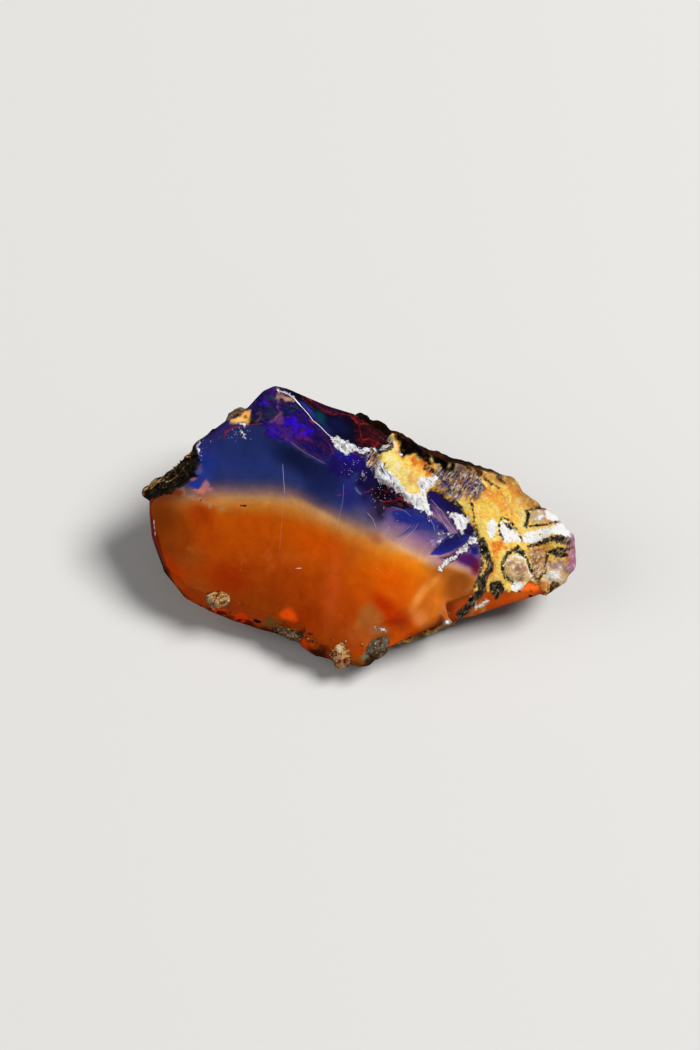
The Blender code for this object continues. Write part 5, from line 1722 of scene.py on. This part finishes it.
    def net(self, coat: Coat) -> None:
        """Fine red cracks that branch through dark glass, drawn where a noise crosses its middle.

        Args:
            coat: The stone's coat.
        """
        course = coat.add(NOISE, {"Scale": 1.0, "Detail": 3.0, "Distortion": 1.4})
        near = coat.add(MATH, (course, 0.5), operation="SUBTRACT")
        near = coat.add(MATH, (near,), operation="ABSOLUTE")
        near = coat.add(RANGE, (near, 0.02, 0.006, 0.0, 0.36))
        shown = coat.inside(Field.NET, 0.3, 0.3)
        coat.lay(coat.add(MATH, (near, shown), operation="MULTIPLY"), self.glow_hue(coat))

    def dust(self, coat: Coat) -> None:
        """Pale specks of powdered opal: thick on some facets, thin over the rest of the glass.

        Args:
            coat: The stone's coat.
        """
        thick = (coat.specks(3.6, 0.2, 0.8), coat.inside(Field.DUST, 0.3, 0.3))
        thick = coat.add(MATH, thick, operation="MULTIPLY")
        specks = coat.add(MATH, (thick, coat.specks(1.1, 0.06, 0.4)), operation="MAXIMUM")
        coat.lay(specks, self.dust_hue, 0.6)

    def skin(self, coat: Coat) -> None:
        """Host-rock skin: sandy and dull, with bone-white opal, black stain, dark crust and pebbles.

        Args:
            coat: The stone's coat.
        """
        rind = coat.add(STORED, output="Color", attribute_name=Field.RIND.value)
        mottle = coat.add(NOISE, {"Scale": 1.2, "Detail": 7.0, "Roughness": 0.72})
        speckle = coat.add(RAMP, (mottle,), self.mottle_hues)
        rind = coat.add(MIX, (0.7, rind, speckle), data_type="RGBA", blend_type="OVERLAY")
        sand = coat.add(NOISE, {"Scale": 4.5, "Detail": 4.0, "Roughness": 0.75})
        grey = coat.add(RANGE, (sand, 0.3, 0.7, 0.1, 0.9))
        rind = coat.add(MIX, (0.7, rind, grey), **SOFT_LIGHT)
        pores = coat.add(CELLS, {"Scale": 1.5, "Randomness": 1.0})
        pores = coat.add(RANGE, (pores, 0.09, 0.04, 0.0, 0.4))
        rind = coat.add(MIX, (pores, rind, "#5a3a1c"), data_type="RGBA")
        glints = coat.add(RANGE, (sand, 0.64, 0.68, 0.0, 0.8))
        rind = coat.add(MIX, (glints, rind, "#fff8ea"), **SOFT_LIGHT)
        grit = coat.add(MATH, (sand, 0.4), operation="MULTIPLY")
        grit = coat.add(MATH, (mottle, 0.3, grit), operation="MULTIPLY_ADD")
        grit = coat.add(MATH, (pores, -0.16, grit), operation="MULTIPLY_ADD")
        coat.lay(coat.inside(Field.SKIN, self.edge_wander, 0.1), rind, 0.62, grit)
        coat.lay(coat.inside(Field.CHALK, 0.3, 0.14), coat.add(RAMP, (mottle,), self.chalk_hues), 0.5)
        crackle = coat.add(MATH, (coat.inside(Field.CRACKLE, 0.25, 0.2), 0.62), operation="MULTIPLY")
        coat.lay(crackle, self.flakes(coat), 0.35)
        frayed = coat.add(NOISE, {"Scale": 2.6, "Detail": 5.0, "Roughness": 0.6})
        tar, _ = coat.drawn_out(16.0, (0.3, 1.1, 0.6), self.stain_hues)
        coat.lay(coat.inside(Field.STAIN, 0.2, 0.09, frayed), tar, 0.5)
        self.crust(coat)
        self.pebbles(coat, rind, grit)

    def flakes(self, coat: Coat) -> Any:
        """The crackle: small drawn-out flakes of several colours that butt together.

        Args:
            coat: The stone's coat.

        Returns:
            The colour socket.
        """
        drawn = coat.stretched(30.0, (0.6, 1.8, 1.0))
        shift = {"Vector": drawn, "Scale": 1.3 / self.crackle_size, "Detail": 3.0}
        shift = coat.add(NOISE, shift, output="Color")
        moved = coat.add("ShaderNodeVectorMath", (shift, (0.35,) * 3, drawn), operation="MULTIPLY_ADD")
        cell = coat.add(CELLS, {"Vector": moved, "Scale": 1.0 / self.crackle_size}, output="Color")
        pick = coat.add("ShaderNodeSeparateColor", (cell,))
        return coat.add(RAMP, (pick,), self.crackle_hues, interpolation="CONSTANT")

    def crust(self, coat: Coat) -> None:
        """The dark crust at the left tip: layered ironstone with gilt edges.

        Args:
            coat: The stone's coat.
        """
        fibre = coat.drawn_out(45.0, (0.3, 1.5, 0.5), self.crust_hues)[1]
        gilt = coat.near_line(Field.GILT, Field.GILT_ON, 1.2)
        lit = coat.add(MATH, (gilt, 0.24, fibre), operation="MULTIPLY_ADD")
        hue = coat.add(RAMP, (lit,), self.crust_hues)
        rise = coat.add(MATH, (lit, 1.4), operation="MULTIPLY")
        coat.lay(coat.inside(Field.CRUST, 0.3, 0.1), hue, 0.48, rise)

    def pebbles(self, coat: Coat, rind: Any, grit: Any) -> None:
        """Pebbles of sugary grains, with painted shade in the crevices between them.

        Args:
            coat: The stone's coat.
            rind: The skin's colour.
            grit: The skin's height in mm.
        """
        grains, rough = coat.drawn_out(60.0, (0.6, 0.9, 0.6), self.pebble_hues)
        grains = coat.add(MIX, (0.8, grains, rind), data_type="RGBA", blend_type="MULTIPLY")
        # painted shade in the crevices between the grains
        crevice_shade = coat.add(CELLS, {"Scale": 1.1}, feature="DISTANCE_TO_EDGE")
        crevice_shade = coat.add(RANGE, (crevice_shade, 0.06, 0.02, 0.0, 0.35))
        grains = coat.add(MIX, (crevice_shade, grains, "#160d07"), data_type="RGBA")
        grit = coat.add(MATH, (rough, 1.0, grit), operation="MULTIPLY_ADD")
        coat.lay(coat.inside(Field.PEBBLE, 0.1, 0.08), grains, 0.7, grit)

    def bruises_and_glints(self, coat: Coat) -> None:
        """Crushed glass along the ridges, which scatters light and looks frosted white, and painted
        highlights where the ridge and chip edges glint.

        Args:
            coat: The stone's coat.
        """
        hue, fibre = coat.drawn_out(150.0, (0.45, 0.95, 0.6), self.bruise_and_glint_hues)
        rise = coat.add(MATH, (fibre, 0.8), operation="MULTIPLY")
        coat.lay(coat.inside(Field.BRUISE, 0.34, 0.1), hue, 0.34, rise)


@dataclass(frozen=True)
class GrainFinish:
    """Loose sugary grains: broken opal, quartz sand and ironstone grit, each grain one colour."""

    name: str = "sugary_opal_grains"
    refraction: float = 1.45
    rough: float = 0.5

    def material(self) -> bpy.types.Material:
        """Builds the finish, which reads one colour per grain.

        Returns:
            The material.
        """
        material = bare_material(self.name)
        tree = material.node_tree
        hue = add(tree, STORED, output="Color", attribute_name=GRAIN_HUE)
        held = add(tree, "ShaderNodeTexCoord", output="Object")
        frost = add(tree, NOISE, {"Vector": held, "Scale": 9.0 / MM, "Detail": 3.0})
        frost = add(tree, RANGE, (frost, 0.3, 0.7, 0.35, 0.65))
        hue = add(tree, MIX, (0.6, hue, frost), **SOFT_LIGHT)
        inputs = {"Base Color": hue, "Roughness": self.rough, "IOR": self.refraction}
        shader = add(tree, "ShaderNodeBsdfPrincipled", inputs)
        add(tree, "ShaderNodeOutputMaterial", {"Surface": shader})
        return material


# ---- grains that cling to the stone

GRAIN_HUE = "grain_hue"


@dataclass(frozen=True)
class Cluster:
    """A patch of the stone where grains cling."""

    name: str
    areas: tuple[Area, ...]
    count: int
    size: tuple[float, float]  # mm, smallest and largest
    hues: tuple[str, ...]
    deepest: float = 2.6  # mm behind the window


CLUSTERS = (
    Cluster("pebbles", (
        Patch(((-16.2, -12.4), (-12.8, -12), (-12.8, -9.8), (-16.2, -9.9))),
        Patch(((-1.2, -16.4), (1.8, -16.4), (1.8, -12.8), (-1.2, -12.8))),
        Patch(((2.2, -14.6), (6, -12), (5.6, -11.6), (2.4, -13))),
    ), 50, (0.12, 0.3), ("#a08658", "#c8b48c", "#6c5236", "#8c7048", "#2e2014", "#5a4426")),
    Cluster("bottom_crust", (Line(((-7.4, -12.9), (-5, -13.1), (-2.6, -13.3)), 0.9),), 45,
        (0.14, 0.34), ("#5a3a20", "#7a5028", "#a87a44", "#2a1a10", "#3a2414")),
    Cluster("ridge", (Line(((-4.6, 9.2), (-3, 8.8), (-1.2, 8.6)), 0.7),), 30,
        (0.1, 0.22), ("#e9e2df", "#b8a8b8", "#f7f1e6", "#7a6a80")),
    Cluster("seam", (
        Line(((0.6, 7.6), (1.2, 5.6), (3.4, 4.9), (5.4, 3.7), (7.8, 2.5)), 1),
        Line(((12.6, 2.4), (13.6, 0.6), (14.6, -1.4), (14.7, -4), (13.4, -7.4)), 0.8),
    ), 70, (0.1, 0.26), ("#d8c090", "#b98a50", "#8a78a8", "#2a1c18", "#c89c58", "#6a4c30")),
    Cluster("skin", (Patch(((9.4, 7.2), (16, 6.8), (21, 4.6), (23.6, 1.6), (24, -1.2), (21, -3.6),
        (16.4, -4.6), (15.2, 0.2), (12.6, 3.6))),), 200,
        (0.1, 0.24), ("#f4d68c", "#e8b860", "#dcc49c", "#f6ecd4", "#c89a54"), 4),
    Cluster("crust", (Patch(((-24, 0), (-21, 1.4), (-19.6, 3.4), (-19.4, 5.2), (-20.6, 5),
        (-22.6, 2.6))),), 60, (0.1, 0.26), ("#1a120c", "#3a2614", "#54402a"), 3),
)


@dataclass
class ClingingGrains:
    """Small angular grains stuck to the stone, each sunk a little into it."""

    name: str = "clinging_grains"
    sunk: float = 0.25  # share of a grain's size below the surface
    clearance: float = 0.5  # mm, grains this near the floor have been knocked off
    seed: int = 11

    def build(self, stone: bpy.types.Object) -> bpy.types.Object:
        """Models one broken grain, copies it on to the stone and joins the copies in one mesh.

        Args:
            stone: The finished stone, in metres.

        Returns:
            The grains, as one piece.
        """
        shape = self.broken_grain()
        places, hues = self.scatter(stone)
        corners = vectors(shape.data.vertices, "co")
        faces = [tuple(polygon.vertices) for polygon in shape.data.polygons]
        bpy.data.objects.remove(shape)
        points = np.concatenate([corners @ np.array(m.to_3x3()).T + np.array(m.translation) for m in places])
        repeats = [tuple(i + n * len(corners) for i in face) for n in range(len(places)) for face in faces]
        mesh = bpy.data.meshes.new(self.name)
        mesh.from_pydata(points.tolist(), [], repeats)
        mesh.validate()
        layer = mesh.attributes.new(GRAIN_HUE, "FLOAT_COLOR", "POINT")
        colours = np.repeat([linear(hue) for hue in hues], len(corners), axis=0)
        layer.data.foreach_set("color", colours.astype(np.float32).ravel())
        obj = bpy.data.objects.new(self.name, mesh)
        bpy.context.collection.objects.link(obj)
        return obj

    def broken_grain(self) -> bpy.types.Object:
        """Breaks an angular grain about 1 across out of an ico-sphere, with four flat fractures.

        Returns:
            The grain.
        """
        deselect_all()
        bpy.ops.mesh.primitive_ico_sphere_add(subdivisions=1, radius=0.5)
        obj = bpy.context.active_object
        bpy.ops.object.mode_set(mode="EDIT")
        for normal, reach in (((1, 0.4, 0.2), 0.3), ((-0.6, 1, 0.3), 0.32), ((0.1, -1, 0.8), 0.3),
                              ((-0.5, -0.3, 1), 0.33)):
            way = Vector(normal).normalized()
            bpy.ops.mesh.select_all(action="SELECT")
            bpy.ops.mesh.bisect(plane_co=way * reach, plane_no=way, use_fill=True, clear_outer=True)
        bpy.ops.mesh.select_all(action="SELECT")
        bpy.ops.mesh.normals_make_consistent(inside=False)
        bpy.ops.object.mode_set(mode="OBJECT")
        return obj

    def scatter(self, stone: bpy.types.Object) -> tuple[list[Matrix], list[str]]:
        """Chooses where the grains lie.

        Args:
            stone: The finished stone, in metres.

        Returns:
            The place, turn and size of each grain, in metres, and its hue.
        """
        points = vectors(stone.data.vertices, "co")
        normals = vectors(stone.data.vertex_normals, "vector")
        face = np.array([at_rest().inverted() @ Vector(p) for p in points])
        front = (normals @ np.array(at_rest().to_3x3().normalized().col[2])) > 0.1
        rng = np.random.default_rng(self.seed)
        places, hues = [], []
        for cluster in CLUSTERS:
            inside = union(cluster.areas, face[:, 0], face[:, 1]) > 0.0
            clear = points[:, 2] > self.clearance * MM
            able = np.flatnonzero(inside & front & clear & (face[:, 2] > -cluster.deepest))
            for index in rng.choice(able, min(cluster.count, len(able)), replace=False):
                size = rng.uniform(*cluster.size) * MM
                turn = Matrix.Rotation(rng.uniform(0.0, math.tau), 4, Vector(rng.normal(size=3)))
                squash = Matrix.Diagonal((*rng.uniform(0.7, 1.2, 3), 1.0))
                lift = Vector(points[index] + normals[index] * size * (0.5 - self.sunk))
                places.append(Matrix.Translation(lift) @ turn @ squash @ Matrix.Scale(size, 4))
                hues.append(str(rng.choice(cluster.hues)))
            LOG.info("%s: %d grains of %d", cluster.name, min(cluster.count, len(able)), len(able))
        return places, hues


# ---- studio


@dataclass(frozen=True)
class Softbox:
    """A square area light that faces the stone."""

    name: str
    towards: Point3  # from the stone to the light, in the window's frame
    away: float  # m
    side: float  # m
    power: float  # W
    glossy: bool = False  # whether the glass mirrors it; a crossed polariser takes most lights out


@dataclass
class Studio:
    """Pale floor, soft light and the camera."""

    floor_size: float = 4.0
    floor_hue: str = "#c9c7c4"
    sky_hue: str = "#e8ecf2"
    sky_strength: float = 0.16
    backdrop_hue: str = "#e4e4e2"
    lens: float = 100.0
    film: float = 36.0
    camera_away: float = 331.4  # mm from the window
    aim: Point2 = (-1.158, 0.114)  # mm, the point of the window in the middle of the frame
    roll: float = math.radians(9.4)
    lights: tuple[Softbox, ...] = (
        Softbox("key", (0.5, 0.6, 0.62), 1.65, 0.72, 36.9),
        Softbox("fill", (-0.8, 0.1, 0.6), 1.8, 1.2, 11.2, glossy=True),
        Softbox("low", (0.15, -0.9, 0.4), 1.8, 1.2, 6.3),
    )

    def build(self) -> None:
        """Sets up floor, lights, world and camera."""
        self.floor()
        for light in self.lights:
            self.lamp(light)
        self.sky()
        self.camera()
        bpy.context.scene.view_settings.view_transform = "Standard"

    def floor(self) -> None:
        """A broad pale floor under the stone."""
        deselect_all()
        bpy.ops.mesh.primitive_grid_add(x_subdivisions=8, y_subdivisions=8, size=self.floor_size)
        obj = bpy.context.active_object
        obj.name = "floor"
        material = bpy.data.materials.new("matt_paper")
        material.use_nodes = True
        shader = material.node_tree.nodes["Principled BSDF"]
        shader.inputs["Base Color"].default_value = linear(self.floor_hue)
        shader.inputs["Roughness"].default_value = 0.9
        obj.data.materials.append(material)
        obj.visible_glossy = False

    def lamp(self, light: Softbox) -> None:
        """Hangs one softbox.

        Args:
            light: The softbox.
        """
        turn = at_rest().to_3x3().normalized()
        way = (turn @ Vector(light.towards)).normalized()
        data = bpy.data.lights.new(light.name, "AREA")
        data.size = light.side
        data.energy = light.power
        obj = bpy.data.objects.new(light.name, data)
        obj.visible_glossy = light.glossy
        obj.visible_camera = False
        facing = way.to_track_quat("Z", "Y").to_matrix().to_4x4()
        obj.matrix_world = Matrix.Translation(way * light.away) @ facing
        bpy.context.collection.objects.link(obj)

    def sky(self) -> None:
        """A dim even sky that the camera sees as a pale backdrop."""
        world = bpy.data.worlds.new("studio")
        bpy.context.scene.world = world
        world.use_nodes = True
        tree = world.node_tree
        tree.nodes.clear()
        seen = add(tree, "ShaderNodeLightPath", output="Is Camera Ray")
        mirrored = add(tree, "ShaderNodeLightPath", output="Is Glossy Ray")
        strength = add(tree, RANGE, (mirrored, 0.0, 1.0, self.sky_strength, 0.3 * self.sky_strength))
        dim = add(tree, "ShaderNodeBackground", {"Color": self.sky_hue, "Strength": strength})
        pale = add(tree, "ShaderNodeBackground", {"Color": self.backdrop_hue, "Strength": 1.0})
        both = add(tree, "ShaderNodeMixShader", (seen, dim, pale))
        add(tree, "ShaderNodeOutputWorld", {"Surface": both})

    def camera(self) -> None:
        """Looks square on to the window, from steeply above."""
        data = bpy.data.cameras.new("camera")
        data.lens = self.lens
        data.sensor_width = self.film
        data.clip_start = 0.01
        obj = bpy.data.objects.new("camera", data)
        eye = at_rest() @ Vector((*self.aim, self.camera_away))
        turn = Matrix.Rotation(WINDOW_TILT, 4, "X") @ Matrix.Rotation(self.roll, 4, "Z")
        obj.matrix_world = Matrix.Translation(eye) @ turn
        bpy.context.collection.objects.link(obj)
        bpy.context.scene.camera = obj


def main() -> None:
    """Builds the stone, its grains and the studio, and reports each piece."""
    logging.basicConfig(level=logging.INFO, format="%(message)s")
    stone = Stone().build()
    stone.data.materials.clear()
    stone.data.materials.append(OpalFinish().material())
    grains = ClingingGrains().build(stone)
    grains.data.materials.append(GrainFinish().material())
    for piece in (stone, grains):
        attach(piece, BODY)
        LOG.info("%s: %d faces", piece.name, len(piece.data.polygons))
    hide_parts(NODE)
    Studio().build()


if __name__ == "__main__":
    main()
